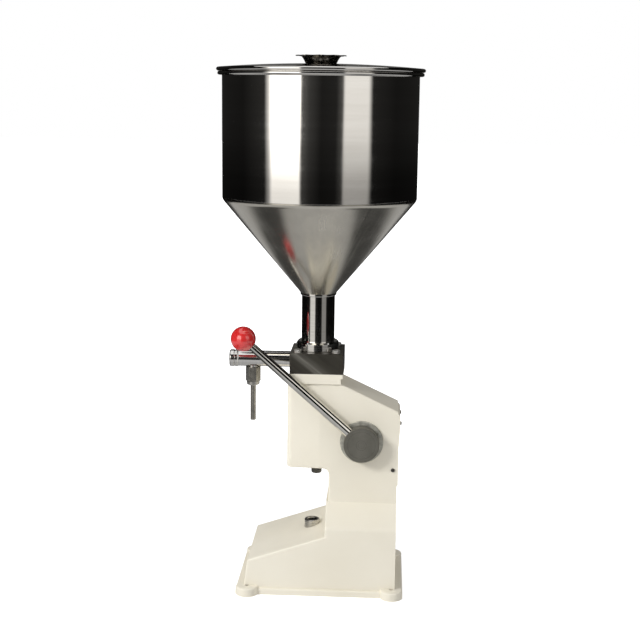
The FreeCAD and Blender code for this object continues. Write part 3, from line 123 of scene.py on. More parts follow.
def begin(name, colour, roughness, metallic=0.0, **constants):
    """A material with its plain values; returns the material, its nodes and its shader."""
    material = bpy.data.materials.new(name)
    material.use_nodes = True
    shader = material.node_tree.nodes["Principled BSDF"]
    values = {"Base Color": (*colour, 1), "Roughness": roughness, "Metallic": metallic}
    for socket, number in {**values, **constants}.items():
        shader.inputs[socket].default_value = number
    return material, material.node_tree, shader


def spot(tree, scale=(1, 1, 1), turn=(0, 0, 0), centre=(0, 0, 0)):
    """The point on the piece, from a centre in metres, turned and then stretched."""
    here = add(tree, "TexCoord").outputs["Object"]
    moved = add(tree, "VectorMath", {0: here, 1: centre}, operation="SUBTRACT").outputs[0]
    turned = add(tree, "Mapping", {"Vector": moved, "Rotation": turn}).outputs[0]
    return add(tree, "Mapping", {"Vector": turned, "Scale": scale}).outputs[0]


def noise(tree, point, scale, detail=3.0, rough=0.5):
    """Cloudy noise round one half."""
    inputs = {"Vector": point, "Scale": scale, "Detail": detail, "Roughness": rough}
    return add(tree, "TexNoise", inputs).outputs[0]


def span(tree, factor, low, high, start=LOW_NOISE, end=HIGH_NOISE):
    """The factor from start to end as a number from low to high."""
    inputs = {"Value": factor, "From Min": start, "From Max": end, "To Min": low, "To Max": high}
    return add(tree, "MapRange", inputs).outputs["Result"]


def maths(tree, operation, first, second=0.0):
    """One sum."""
    return add(tree, "Math", {0: first, 1: second}, operation=operation).outputs[0]


def ramp(tree, factor, stops):
    """Colours along the factor; each stop is a place and a colour or a grey level."""
    made = add(tree, "ValToRGB", {"Fac": factor})
    band = made.color_ramp
    while len(band.elements) < len(stops):
        band.elements.new(1)
    for element, (place, colour) in zip(band.elements, stops):
        element.position = place
        element.color = (*colour, 1) if isinstance(colour, tuple) else (colour, colour, colour, 1)
    return made.outputs["Color"]


def two_tone(tree, factor, darker, lighter):
    """One colour where the noise is low, blending into the other where it is high."""
    return ramp(tree, factor, [(LOW_NOISE, darker), (HIGH_NOISE, lighter)])


def blend(tree, factor, first, second):
    """The first colour where the factor is nought, the second where it is one."""
    return add(tree, "Mix", {"Factor": factor, "A": first, "B": second}, data_type="RGBA").outputs[2]


def link(tree, shader, socket, output):
    """Feed one input of the shader."""
    tree.links.new(output, shader.inputs[socket])


def relief(tree, shader, *layers):
    """Bumps on the surface; each layer is a height and its depth in metres."""
    normal = None
    for height, depth in layers:
        inputs = {"Height": height, "Distance": depth, "Strength": 1.0}
        if normal:
            inputs["Normal"] = normal
        normal = add(tree, "Bump", inputs).outputs[0]
    link(tree, shader, "Normal", normal)


# Materials

def cream_enamel():
    """Thick cream enamel over sand castings: soft gloss, fine peel and slow waves."""
    material, tree, shader = begin("cream_enamel", (0.85, 0.80, 0.68), 0.4,
                                   **{"Coat Weight": 0.12, "Coat Roughness": 0.3, "Specular IOR Level": 0.4})
    point = spot(tree)
    patches = noise(tree, point, 9, 4)
    link(tree, shader, "Base Color", two_tone(tree, patches, (0.815, 0.765, 0.64), (0.87, 0.825, 0.71)))
    link(tree, shader, "Roughness", span(tree, noise(tree, point, 60, 4), 0.36, 0.5))
    relief(tree, shader, (noise(tree, point, 38, 2), 0.00035), (noise(tree, point, 620, 2), 0.00003))
    return material


def rolled_sheet():
    """Mirror-polished sheet of the hopper: faint rings round it and hand-polished waves."""
    material, tree, shader = begin("rolled_sheet", (0.74, 0.72, 0.69), 0.07, 1.0)
    rings = noise(tree, spot(tree, (4, 4, 90)), 1, 5, 0.6)
    clouds = noise(tree, spot(tree, (9, 9, 5)), 1, 3)
    link(tree, shader, "Base Color", two_tone(tree, rings, (0.71, 0.69, 0.66), (0.78, 0.765, 0.74)))
    uneven = maths(tree, "MULTIPLY", rings, clouds)
    link(tree, shader, "Roughness", span(tree, uneven, 0.03, 0.11, 0.12, 0.42))
    waves = noise(tree, spot(tree, (6, 6, 5)), 1, 1)
    relief(tree, shader, (waves, 0.0022), (rings, 0.000004))
    return material


def spun_cone():
    """Satin cone: marks of the polishing wheel run up and down it."""
    material, tree, shader = begin("spun_cone", (0.68, 0.65, 0.58), 0.2, 1.0)
    parts = add(tree, "SeparateXYZ", {0: spot(tree)})
    angle = maths(tree, "ARCTAN2", parts.outputs[1], parts.outputs[0])
    around = maths(tree, "MULTIPLY", angle, 46.0)
    up = maths(tree, "MULTIPLY", parts.outputs[2], 9.0)
    marks = noise(tree, add(tree, "CombineXYZ", {0: around, 1: up}).outputs[0], 1, 5, 0.6)
    clouds = noise(tree, spot(tree), 16, 4, 0.6)
    link(tree, shader, "Base Color", two_tone(tree, clouds, (0.60, 0.572, 0.505), (0.73, 0.70, 0.632)))
    uneven = maths(tree, "MULTIPLY", marks, clouds)
    link(tree, shader, "Roughness", span(tree, uneven, 0.15, 0.28, 0.14, 0.4))
    relief(tree, shader, (noise(tree, spot(tree), 11, 1), 0.0009), (marks, 0.000006))
    return material


def turned_steel(name, colour, smooth, rough, scale, depth=0.000006):
    """Steel with tool marks: the scale is large along the axis that it was turned on."""
    material, tree, shader = begin(name, colour, rough, 1.0)
    rings = noise(tree, spot(tree, scale), 1, 4, 0.6)
    clouds = noise(tree, spot(tree), 70, 3)
    darker = tuple(0.86 * part for part in colour)
    lighter = tuple(min(1.0, 1.07 * part) for part in colour)
    link(tree, shader, "Base Color", two_tone(tree, rings, darker, lighter))
    uneven = maths(tree, "MULTIPLY", rings, clouds)
    link(tree, shader, "Roughness", span(tree, uneven, smooth, rough, 0.12, 0.42))
    relief(tree, shader, (rings, depth))
    return material


def faced_hub():
    """Face-turned steel of the lever hub: fine circles round the shaft."""
    material, tree, shader = begin("faced_hub", (0.16, 0.152, 0.13), 0.34, 0.5)
    parts = add(tree, "SeparateXYZ", {0: spot(tree, centre=in_metres(LEVER_MIDDLE))})
    flat = add(tree, "CombineXYZ", {0: parts.outputs[1], 1: parts.outputs[2]}).outputs[0]
    radius = add(tree, "VectorMath", {0: flat}, operation="LENGTH").outputs["Value"]
    ring = add(tree, "CombineXYZ", {0: maths(tree, "MULTIPLY", radius, 1500.0)}).outputs[0]
    circles = noise(tree, ring, 1, 3)
    clouds = noise(tree, spot(tree), 55, 4)
    link(tree, shader, "Base Color", two_tone(tree, clouds, (0.135, 0.13, 0.108), (0.175, 0.168, 0.142)))
    link(tree, shader, "Roughness", span(tree, circles, 0.24, 0.38))
    relief(tree, shader, (circles, 0.000006))
    return material


# Middle, slant, half-width in millimetres and fall-off of the pale stripe of painted sheen on the block
STRIPE_MIDDLE = (0, -12, 326.5)
STRIPE_SLANT = (math.radians(38), 0, 0)
STRIPE_REACH = 20
STRIPE_EDGES = [(0.3, 0.0), (0.5, 1.0), (0.58, 0.35), (0.8, 0.0)]


def milled_block():
    """Blackened block: satin, with slanting marks of the cutter and one pale stripe of painted sheen."""
    material, tree, shader = begin("milled_block", (0.06, 0.055, 0.044), 0.36, 0.45)
    marks = noise(tree, spot(tree, (30, 14, 240), STRIPE_SLANT), 1, 4, 0.6)
    point = spot(tree, turn=STRIPE_SLANT, centre=in_metres(STRIPE_MIDDLE))
    across = add(tree, "SeparateXYZ", {0: point}).outputs[2]
    stripe = ramp(tree, span(tree, across, 0, 1, -STRIPE_REACH * MM, STRIPE_REACH * MM), STRIPE_EDGES)
    # A pale stripe of painted sheen: a reflection painted into the colour, broken up by the cutter marks
    painted_sheen = maths(tree, "MULTIPLY", stripe, span(tree, marks, 0.35, 1.0))
    dark = two_tone(tree, marks, (0.040, 0.036, 0.028), (0.056, 0.051, 0.040))
    link(tree, shader, "Base Color", blend(tree, painted_sheen, dark, (0.24, 0.23, 0.20, 1)))
    link(tree, shader, "Roughness", span(tree, marks, 0.28, 0.46))
    relief(tree, shader, (marks, 0.000015))
    return material


def blackened(name, colour, rough, metallic=1.0, grain=900, depth=0.00001):
    """Oil-blackened steel, a little uneven."""
    material, tree, shader = begin(name, colour, rough, metallic)
    clouds = noise(tree, spot(tree), 130, 4, 0.6)
    darker = tuple(0.7 * part for part in colour)
    lighter = tuple(min(1.0, 1.35 * part) for part in colour)
    link(tree, shader, "Base Color", two_tone(tree, clouds, darker, lighter))
    link(tree, shader, "Roughness", span(tree, clouds, rough - 0.07, rough + 0.1))
    relief(tree, shader, (noise(tree, spot(tree), grain, 2), depth))
    return material


def moulded(name, colour, rough, grain, depth, **constants):
    """Moulded plastic or rubber."""
    material, tree, shader = begin(name, colour, rough, **constants)
    clouds = noise(tree, spot(tree), 75, 4)
    darker = tuple(0.9 * part for part in colour)
    link(tree, shader, "Base Color", two_tone(tree, clouds, darker, colour))
    link(tree, shader, "Roughness", span(tree, clouds, max(0.03, rough - 0.05), rough + 0.05))
    relief(tree, shader, (noise(tree, spot(tree), grain, 2), depth))
    return material


ENAMEL = cream_enamel()
SHEET = rolled_sheet()
CONE = spun_cone()
HUB = faced_hub()
BLOCK = milled_block()
CHROME_UP = turned_steel("chrome_upright", (0.76, 0.745, 0.72), 0.05, 0.13, (14, 14, 1500))
CHROME_FRONT = turned_steel("chrome_to_front", (0.80, 0.785, 0.76), 0.05, 0.14, (14, 1500, 14))
CHROME_ROD = turned_steel("chrome_rod", (0.80, 0.785, 0.74), 0.04, 0.11, (25, 25, 25), 0.000002)
SATIN = turned_steel("satin_steel", (0.58, 0.565, 0.53), 0.22, 0.36, (60, 60, 900))
SATIN_SIDE = turned_steel("satin_side", (0.60, 0.59, 0.54), 0.22, 0.36, (900, 60, 60))
FLANGE = blackened("machined_flange", (0.46, 0.45, 0.39), 0.34, 0.5)
KNOB = blackened("dark_polish", (0.27, 0.255, 0.23), 0.2)
BRIGHT = turned_steel("bright_bolts", (0.9, 0.89, 0.86), 0.5, 0.62, (60, 60, 60))
NUT = blackened("grey_nut", (0.34, 0.325, 0.29), 0.24)
DARK = blackened("dark_steel", (0.16, 0.155, 0.14), 0.32)
BLACK = blackened("black_steel", (0.055, 0.053, 0.048), 0.34)
CASTING = blackened("bare_casting", (0.20, 0.195, 0.185), 0.55, 0.7, 420, 0.00012)
BRONZE = turned_steel("bush_bronze", (0.62, 0.44, 0.22), 0.24, 0.4, (900, 60, 60))
RED = moulded("ball_red", (0.70, 0.022, 0.022), 0.3, 900, 0.000002,
              **{"Coat Weight": 0.9, "Coat Roughness": 0.1, "Coat IOR": 1.9, "IOR": 1.5})
WHITE_SEAL = moulded("white_seal", (0.80, 0.80, 0.77), 0.42, 700, 0.00001)
BLACK_SEAL = moulded("black_seal", (0.03, 0.03, 0.031), 0.55, 800, 0.00002)

CAD_FINISHES = {
    ENAMEL: ("base", "housing", "rear_cover", "head_plate"),
    SATIN: ("rest_socket", "ball_retainer", "crosshead", "inlet_spring", "outlet_spring"),
    SATIN_SIDE: ("lever_shaft", "shaft_washer", "crosshead_pin"),
    FLANGE: ("bearing_near", "bearing_far"),
    BRONZE: ("bush_near", "bush_far"),
    BLOCK: ("valve_block",),
    HUB: ("lever_hub",),
    CASTING: ("crank_arm",),
    DARK: ("hub_key", "arm_pin", "shaft_clip", "pin_clips", "knob_screw", "foot_bolts"),
    BLACK: ("hub_set_screw",),
    CHROME_UP: ("pump_cylinder", "piston", "piston_rod", "inlet_ball", "outlet_ball"),
    WHITE_SEAL: ("inlet_seat", "outlet_seat", "cap_gasket", "piston_seals"),
    BLACK_SEAL: ("head_seal", "neck_seal"),
}


def dress_solids():
    """Give the solids that stay their materials."""
    for material, names in CAD_FINISHES.items():
        for name in names:
            for holder in nodes[name].material_slots:
                holder.material = material


# Building blocks of the pieces

ROUND = 192
TINY = 1e-6
SHARP_EDGE = math.radians(40)


def rounded(outline, steps=5):
    """The outline's points; a corner with a third number is rounded to that radius."""
    points = []
    for index, (radius, height, *bend) in enumerate(outline):
        here = Vector((radius, height))
        if not bend:
            points.append((radius, height))
            continue
        back = (Vector(outline[index - 1][:2]) - here).normalized()
        on = (Vector(outline[(index + 1) % len(outline)][:2]) - here).normalized()
        half = back.angle(on) / 2
        centre = here + (back + on).normalized() * (bend[0] / math.sin(half))
        reach = bend[0] / math.tan(half)
        first = here + back * reach - centre
        last = here + on * reach - centre
        points += [tuple(centre + bend[0] * first.slerp(last, step / steps)) for step in range(steps + 1)]
    return points


def arc(radius, height, bend, start, end, steps=16):
    """Points of an arc round one point, from one angle to another in degrees."""
    angles = [math.radians(start + (end - start) * step / steps) for step in range(steps + 1)]
    return [(radius + bend * math.cos(angle), height + bend * math.sin(angle)) for angle in angles]


def turned(name, rows, steps=ROUND, where=(0, 0, 0), along=(0, 0, 1)):
    """Turn rows of radius and height, each with a form of its own if it isn't round, into a closed mesh."""
    bm = bmesh.new()
    rings = []
    for radius, height, *form in rows:
        ring = []
        for step in range(steps if radius > TINY else 1):
            angle = math.tau * step / steps
            r, z = form[0](angle, radius, height) if form else (radius, height)
            ring.append(bm.verts.new((r * math.cos(angle), r * math.sin(angle), z)))
        rings.append(ring)
    for low, high in zip(rings, rings[1:] + rings[:1]):
        for step in range(steps):
            below = [low[index % len(low)] for index in (step, step + 1)]
            above = [high[index % len(high)] for index in (step + 1, step)]
            corners = list(dict.fromkeys(below + above))
            if len(corners) > 2:
                bm.faces.new(corners)
    lie = Vector((0, 0, 1)).rotation_difference(Vector(along)).to_matrix().to_4x4()
    bm.transform(Matrix.Translation(in_metres(where)) @ lie @ Matrix.Scale(MM, 4))
    return shaded(name, bm)


def shaded(name, bm):
    """The finished mesh, with its faces outwards."""
    bmesh.ops.recalc_face_normals(bm, faces=bm.faces)
    mesh = bpy.data.meshes.new(name)
    bm.to_mesh(mesh)
    bm.free()
    return weighted(name, mesh)


def weighted(name, mesh):
    """Sharp edges stay sharp; the rest is shaded smooth, and large faces lead so that flat ones stay flat."""
    mesh.polygons.foreach_set("use_smooth", [True] * len(mesh.polygons))
    mesh.set_sharp_from_angle(angle=SHARP_EDGE)
    holder = bpy.data.objects.new(name + "_holder", mesh)
    scene.collection.objects.link(holder)
    modifier = holder.modifiers.new("weighted", "WEIGHTED_NORMAL")
    modifier.keep_sharp = True
    flat = evaluated_mesh(holder)
    flat.name = name
    bpy.data.objects.remove(holder)
    return flat


def evaluated_mesh(thing):
    """The object's mesh with its modifiers applied."""
    depsgraph = bpy.context.evaluated_depsgraph_get()
    return bpy.data.meshes.new_from_object(thing.evaluated_get(depsgraph), depsgraph=depsgraph)


def piece(name, mesh, material, body, slot, *stands_for):
    """Show the mesh as a piece on a body; it stands for the named solids."""
    mesh.materials.clear()
    mesh.materials.append(material)
    thing = bpy.data.objects.new(name, mesh)
    scene.collection.objects.link(thing)
    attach(thing, body)
    if stands_for:
        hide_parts(*stands_for)


def turned_piece(name, rows, material, body, slot, stands_for, **lathe):
    """Turn the rows and show the result as a piece."""
    piece(name, turned(name, rows, **lathe), material, body, slot, stands_for)


def six_sided(flats, soft=0.985):
    """Form of a hexagon bar with its corners just off; the row's radius is the limit of a chamfer."""
    def form(angle, radius, height):
        off = (angle + math.pi / 6) % (math.pi / 3) - math.pi / 6
        bar = min(flats / 2 / math.cos(off), flats / 2 / math.cos(math.pi / 6) * soft)
        return min(bar, radius), height
    return form


# A nut's corners are cut back to this share of its flats, at 30 degrees
CORNER_CUT = 0.97
CORNER_FALL = 0.577


def nut_rows(flats, low, high, low_cut=True):
    """Rows of a hexagon bar with its corners turned off above and, unless told otherwise, below."""
    form = six_sided(flats)
    corner = flats / 2 / math.cos(math.pi / 6)
    small = flats / 2 * CORNER_CUT
    fall = (corner - small) * CORNER_FALL
    shares = [step / 6 for step in range(7)]
    under = [(small + (corner - small) * share, low + fall * share, form) for share in shares]
    over = [(small + (corner - small) * share, high - fall * share, form) for share in reversed(shares)]
    return (under if low_cut else [(corner, low, form)]) + over


def knurled(teeth, depth):
    """Form of a straight-knurled rim."""
    def form(angle, radius, height):
        return radius - depth * (0.5 - 0.5 * math.cos(angle * teeth)) ** 0.7, height
    return form


# Hopper and lid

HOPPER_ROUND = 288


def hopper():
    """Wall with its rolled rim, cone, neck and collar."""
    outside, inside = 135.2, 134.0
    sheet = outside - inside
    foot, foot_height = 25.5, 422.7
    bend, bend_radius = 554.0, 10
    seam, seam_lap = 557.64, 0.05
    lean = math.atan2(outside - foot, bend - foot_height)
    across = sheet / math.cos(lean)
    roll, roll_middle, roll_height, roll_end = 2.6, 138.8, 724.6, 136.6
    lap = seam + seam_lap
    lower = rounded([(inside, 600), (inside, lap, 0.3), (outside, lap, 0.4), (outside, 600)])
    upper = rounded([(outside, 700), (outside, roll_height - roll, 0.8), (roll_middle, roll_height - roll)])
    rim = [*arc(roll_middle, roll_height, roll, -90, 90, 20)[1:], *arc(roll_end, roll_height, roll, 90, 180, 8)]
    turned_piece("hopper_wall_sheet", lower + upper + rim, SHEET, "frame", "polished_steel", "hopper_wall",
                 steps=HOPPER_ROUND)
    inner_bend = bend + sheet * math.tan(lean / 2)
    cone = rounded([(foot, foot_height, 0.5), (outside, bend, bend_radius), (outside, seam), (inside, seam),
                    (inside, inner_bend, bend_radius - sheet), (foot - across, foot_height)], 10)
    turned_piece("hopper_cone_sheet", cone, CONE, "frame", "polished_steel", "hopper_cone", steps=HOPPER_ROUND)
    bore, pipe, low, flange = 21.75, 23.35, 339.5, 419.7
    neck = rounded([(bore, low), (pipe, low), (pipe, flange, 0.8), (foot, flange, 0.5),
                    (foot, foot_height, 0.5), (bore, foot_height)])
    turned_piece("neck_pipe", neck, CHROME_UP, "frame", "polished_steel", "hopper_neck")
    fit, wide, narrow = 23.42, 29.5, 27.5
    collar = rounded([(fit, BLOCK_TOP), (wide, BLOCK_TOP, 0.4), (wide, 352.0, 0.5), (narrow, 354.0, 0.5),
                      (fit, 354.0)])
    turned_piece("collar_ring", collar, CHROME_UP, "frame", "polished_steel", "hopper_collar")


LID_TOP = 738.5


def lid():
    """Domed lid with its rolled rim and skirt."""
    sheet = 1.2
    edge = 732.7
    roll, roll_middle = 2.6, 140.4
    outer, foot, soft = 133.2, 715.0, 0.3
    inner = outer - sheet
    rise = LID_TOP - edge
    curve = (roll_middle ** 2 + rise ** 2) / (2 * rise)
    steps = [roll_middle * step / 24 for step in range(24)]
    dome = [(radius, LID_TOP - curve + math.sqrt(curve ** 2 - radius ** 2)) for radius in steps]
    under = [(radius, height - sheet) for radius, height in reversed(dome) if radius < inner - 1]
    skirt = [(outer, edge - 2 * roll), (outer, foot + soft), (outer - soft, foot), (inner + 0.2, foot),
             (inner, foot + soft)]
    rows = [*dome, *arc(roll_middle, edge - roll, roll, 90, -90, 20), *skirt, (inner, edge - 0.8), *under]
    turned_piece("lid_sheet", rows, SHEET, "lid", "polished_steel", "lid", steps=HOPPER_ROUND)


def lid_knob():
    """Dished knob with its scalloped brim."""
    bites, bite, bite_depth = 10, 5.5, 2.2
    wide, flat_starts, wave = 35, 28, 0.3
    ring = wide + bite - bite_depth

    def brim(angle, radius, height):
        off = (angle + math.pi / bites) % (math.tau / bites) - math.pi / bites
        across = ring * math.sin(off)
        reach = ring * math.cos(off) - math.sqrt(bite ** 2 - across ** 2) if abs(across) < bite else radius
        bitten = min(radius, reach) if radius > flat_starts else radius
        lift = wave * math.cos(off * bites) * max(0.0, radius - flat_starts) / (wide - flat_starts)
        return bitten, height - 0.4 + lift

    bowl = [(0, 0), (21.0, 0), (21.5, 0.5), (22.2, 2.0), (23.4, 4.5), (25.0, 7.2), (27.0, 9.4)]
    rim = [(28.5, 10.2), (31, 10.5), (34.2, 10.6), (35.0, 11.0), (34.8, 11.5), (31, 11.6), (28.5, 11.4)]
    dish = [(27.0, 10.9), (24.5, 8.8), (22.0, 7.2), (17.0, 6.6), (0, 6.5)]
    rows = [(radius, LID_TOP + height) for radius, height in bowl]
    rows += [(radius, LID_TOP + height, brim) for radius, height in rim]
    rows += [(radius, LID_TOP + height) for radius, height in dish]
    turned_piece("knob_dish", rows, KNOB, "lid", "polished_steel", "lid_knob", steps=240)


# Pump head and outlet

def on_corners(name, source, side, height, material):
    """Geometry Nodes put the source on the four corners of a square; sizes are in metres."""
    tree = bpy.data.node_groups.new(name + "_places", "GeometryNodeTree")
    inputs = [("Side", "NodeSocketFloat", side), ("Height", "NodeSocketFloat", height),
              ("Source", "NodeSocketObject", source), ("Finish", "NodeSocketMaterial", material)]
    sockets = [tree.interface.new_socket(label, in_out="INPUT", socket_type=kind)
               for label, kind, _ in inputs]
    tree.interface.new_socket("Geometry", in_out="OUTPUT", socket_type="NodeSocketGeometry")

    def step(kind, **given):
        made = tree.nodes.new(kind)
        for socket, output in given.items():
            tree.links.new(output, made.inputs[socket.replace("_", " ")])
        return made

    entry = tree.nodes.new("NodeGroupInput")
    grid = step("GeometryNodeMeshGrid", Size_X=entry.outputs["Side"], Size_Y=entry.outputs["Side"])
    grid.inputs["Vertices X"].default_value = 2
    grid.inputs["Vertices Y"].default_value = 2
    shift = step("ShaderNodeCombineXYZ", Z=entry.outputs["Height"])
    moved = step("GeometryNodeTransform", Geometry=grid.outputs["Mesh"], Translation=shift.outputs[0])
    shape = step("GeometryNodeObjectInfo", Object=entry.outputs["Source"])
    placed = step("GeometryNodeInstanceOnPoints", Points=moved.outputs[0], Instance=shape.outputs["Geometry"])
    real = step("GeometryNodeRealizeInstances", Geometry=placed.outputs[0])
    dressed = step("GeometryNodeSetMaterial", Geometry=real.outputs[0], Material=entry.outputs["Finish"])
    step("NodeGroupOutput", Geometry=dressed.outputs[0])
    holder = bpy.data.objects.new(name + "_holder", bpy.data.meshes.new(name + "_empty"))
    scene.collection.objects.link(holder)
    modifier = holder.modifiers.new("places", "NODES")
    modifier.node_group = tree
    for socket, (_, _, given) in zip(sockets, inputs):
        modifier[socket.identifier] = given
    mesh = evaluated_mesh(holder)
    bpy.data.objects.remove(holder)
    return weighted(name, mesh)


def head_bolts():
    """Hexagon bolts through the block, each on a washer-like face."""
    spacing, flats, length = 54, 10, 49
    face, top, dimple = 0.5, 4.2, 3.95
    shank = [(0, -length), (3, -length), (3, 0), (5.6, 0.0), (5.7, 0.15), (5.7, face)]
    head = [*nut_rows(flats, face, top, low_cut=False), (3.4, top), (3.2, dimple), (0, dimple)]
    bolt = bpy.data.objects.new("head_bolt", turned("head_bolt", shank + head, steps=96))
    scene.collection.objects.link(bolt)
    mesh = on_corners("head_bolt_set", bolt, spacing * MM, BLOCK_TOP * MM, BRIGHT)
    bpy.data.objects.remove(bolt)
    piece("head_bolt_set", mesh, BRIGHT, "frame", "brushed_steel", "head_bolts")


def outlet():
    """Polished tube with its branch, and the round cap."""
    forwards = {"steps": 128, "where": (0, 0, OUTLET_HEIGHT), "along": (0, -1, 0)}
    wide, chamber, bore = 11.5, 8.5, 6.0
    start, step, end = 25.5, 46.0, 113.0
    tube = rounded([(bore, start), (wide, start), (wide, end, 0.5), (chamber, end), (chamber, step),
                    (bore, step)])
    turned_piece("outlet_pipe", tube, CHROME_FRONT, "frame", "polished_steel", "outlet_tube", **forwards)
    branch = rounded([(4.0, 298.0), (7.5, 298.0, 0.4), (7.5, 316.0), (4.0, 316.0)])
    turned_piece("outlet_branch", branch, CHROME_UP, "frame", "polished_steel", "outlet_tube", steps=96,
                 where=NOZZLE_PLACE)
    rim, groove = 12.3, 11.6
    cap = rounded([(0, 74.0), (5.0, 74.0, 0.6), (5.0, 105.0), (8.5, 105.0), (8.5, 113.8), (rim, 113.8, 1.2),
                   (rim, 117.4, 0.25), (groove, 118.0, 0.25), (groove, 118.8, 0.25), (rim, 119.4, 0.25),
                   (rim, 125.8, 2.2), (8.2, 125.8, 0.3), (7.6, 125.3, 0.3), (0, 125.3)])
    turned_piece("tube_cap", cap, CHROME_FRONT, "frame", "polished_steel", "end_cap", **forwards)


def nozzle():
    """Union nut, ferrule and the thin nozzle under the branch."""
    bore, seat, shoulder, branch_foot = 3.7, 292.0, 313.5, 298.0
    nut = [(bore, seat), *nut_rows(19, seat, shoulder), (7.5, shoulder), (7.5, branch_foot),
           (bore, branch_foot)]
    turned_piece("union_nut", nut, NUT, "frame", "dark_steel", "nozzle_nut", steps=180, where=NOZZLE_PLACE)
    ferrule = rounded([(bore, 287.0), (8.3, 287.0, 0.4), (9.3, 288.0, 0.4), (9.3, seat, 0.3), (bore, seat)])
    turned_piece("nozzle_ferrule", ferrule, SATIN, "frame", "brushed_steel", "ferrule", steps=96,
                 where=NOZZLE_PLACE)
    inner, outer, tip, step = 3.0, 4.0, 234.7, 286.5
    pipe = rounded([(inner, tip), (outer, tip, 0.3), (outer, step, 0.15), (bore, step), (bore, branch_foot),
                    (inner, branch_foot)])
    turned_piece("nozzle_pipe", pipe, NUT, "frame", "polished_steel", "nozzle_tube", steps=96,
                 where=NOZZLE_PLACE)


# Lever, stroke screw and small screws

LEVER_ANGLE = math.radians(41.4)
LEVER_WAY = (0, -math.cos(LEVER_ANGLE), math.sin(LEVER_ANGLE))


def lever():
    """Tapered chrome rod and the red ball."""
    thick, thin, thread = 7.0, 5.75, 4.0
    start, taper, seat, end = 15.0, 50.0, 205.5, 225.5
    rod = rounded([(0, start), (thick, start), (thick, taper, 8), (thin, seat), (thread, seat),
                   (thread, end, 0.5), (0, end)])
    turned_piece("lever_bar", rod, CHROME_ROD, "lever", "polished_steel", "lever_rod", steps=96,
                 where=LEVER_MIDDLE, along=LEVER_WAY)
    size, middle, mouth = 17.5, 222.0, 6.6
    opening = math.degrees(math.asin(mouth / size)) - 90
    ball = [(0, 225.6), (thread, 225.6), (thread, 206.2), (5.9, 205.7),
            *arc(0, middle, size, opening, 90, 72)[:-1], (0, middle + size)]
    turned_piece("lever_ball", ball, RED, "lever", "red_plastic", "ball_knob", steps=144, where=LEVER_MIDDLE,
                 along=LEVER_WAY)


def stroke_stop():
    """Knurled stroke screw and its lock nut under the housing."""
    grip = knurled(36, 0.45)
    tip = rounded([(0, 158.5), (6.6, 158.5, 0.4), (7.5, 159.4)])[1:-1]
    rim = [(7.3, 159.4), (7.5, 159.7, grip), (7.5, 164.2, grip), (7.3, 164.5), (6.6, 165.0)]
    thread = [(5.0, 165.0), (5.0, 181.9), (0, 181.9)]
    turned_piece("stroke_grip", [(0, 158.5), *tip, *rim, *thread], DARK, "stroke_screw", "black_steel",
                 "stroke_screw", steps=288)
    bore, low, high = 5.05, 166.0, 171.0
    nut = [(bore, low), *nut_rows(14.5, low, high), (bore, high)]
    turned_piece("stroke_nut", nut, DARK, "frame", "black_steel", "lock_nut", steps=120)


def cover_screws():
    """Pan-head screws of the rear cover, each with a hexagon recess."""
    recess = six_sided(2.5, 0.99)
    shank = [(0, -10), (2.0, -10), (2.0, 0)]
    head = [(2.7, 0), (2.8, 0.2), (2.8, 0.9), (2.6, 1.5), (2.2, 1.9), (1.7, 2.0), (1.5, 2.0)]
    socket = [(9, 1.95, recess), (9, 0.9, recess), (0, 0.7)]
    from_behind = [((way * 31, 119.2, 243), (0, 1, 0)) for way in (1, -1)]
    from_the_sides = [((way * 35, 110, 175), (way, 0, 0)) for way in (1, -1)]
    together = bmesh.new()
    for place, way in from_behind + from_the_sides:
        single = turned("cover_screw", shank + head + socket, 48, place, way)
        together.from_mesh(single)
        bpy.data.meshes.remove(single)
    piece("cover_screw_set", shaded("cover_screw_set", together), DARK, "frame", "dark_steel", "cover_screws")


# Studio

# Lamps: name, place and side in metres, and watts
KEY = ("key", (1.5, -1.7, 1.5), 0.7, 44.0)
FILL = ("fill", (1.3, 1.0, 2.0), 1.6, 9.0)
REAR = ("rear", (-1.8, -0.6, 1.9), 1.6, 8.0)
LAMPS_AIM = (0, 0, 0.35)
AMBIENT = 0.38
FLOOR_SIZE = 30.0

# The floor's own glow, from near the machine to far away, and where it changes
FLOOR_NEAR, FLOOR_FAR = 0.62, 1.2
GLOW_STARTS, GLOW_ENDS = 0.35, 0.9

WALL_RADIUS = 1.4
WALL_TOP = 2.4
WALL_FACES = 128


def seen_directly(tree):
    """One for rays of the camera and those that metal and glass send on, else nought."""
    path = add(tree, "LightPath")
    either = maths(tree, "MAXIMUM", path.outputs["Is Camera Ray"], path.outputs["Is Glossy Ray"])
    return maths(tree, "MAXIMUM", either, path.outputs["Is Transmission Ray"])


def world():
    """White where it is seen, a plain level of light elsewhere."""
    surroundings = bpy.data.worlds.new("studio")
    surroundings.use_nodes = True
    scene.world = surroundings
    tree = surroundings.node_tree
    background = tree.nodes["Background"]
    background.inputs["Color"].default_value = (1, 1, 1, 1)
    tree.links.new(span(tree, seen_directly(tree), AMBIENT, 1.0, 0, 1), background.inputs["Strength"])


def lamps():
    """Soft area lamps at a plain level."""
    for name, place, size, power in (KEY, FILL, REAR):
        data = bpy.data.lights.new(name, "AREA")
        data.size = size
        data.energy = power
        lamp = bpy.data.objects.new(name, data)
        scene.collection.objects.link(lamp)
        way = Vector(LAMPS_AIM) - Vector(place)
        lamp.matrix_world = Matrix.Translation(place) @ way.to_track_quat("-Z", "Y").to_matrix().to_4x4()
        lamp.visible_glossy = False


def glowing(name):
    """A material of light alone; returns it, its nodes and its emission."""
    material = bpy.data.materials.new(name)
    material.use_nodes = True
    tree = material.node_tree
    tree.nodes.clear()
    glow = add(tree, "Emission")
    add(tree, "OutputMaterial", {"Surface": glow.outputs[0]})
    return material, tree, glow


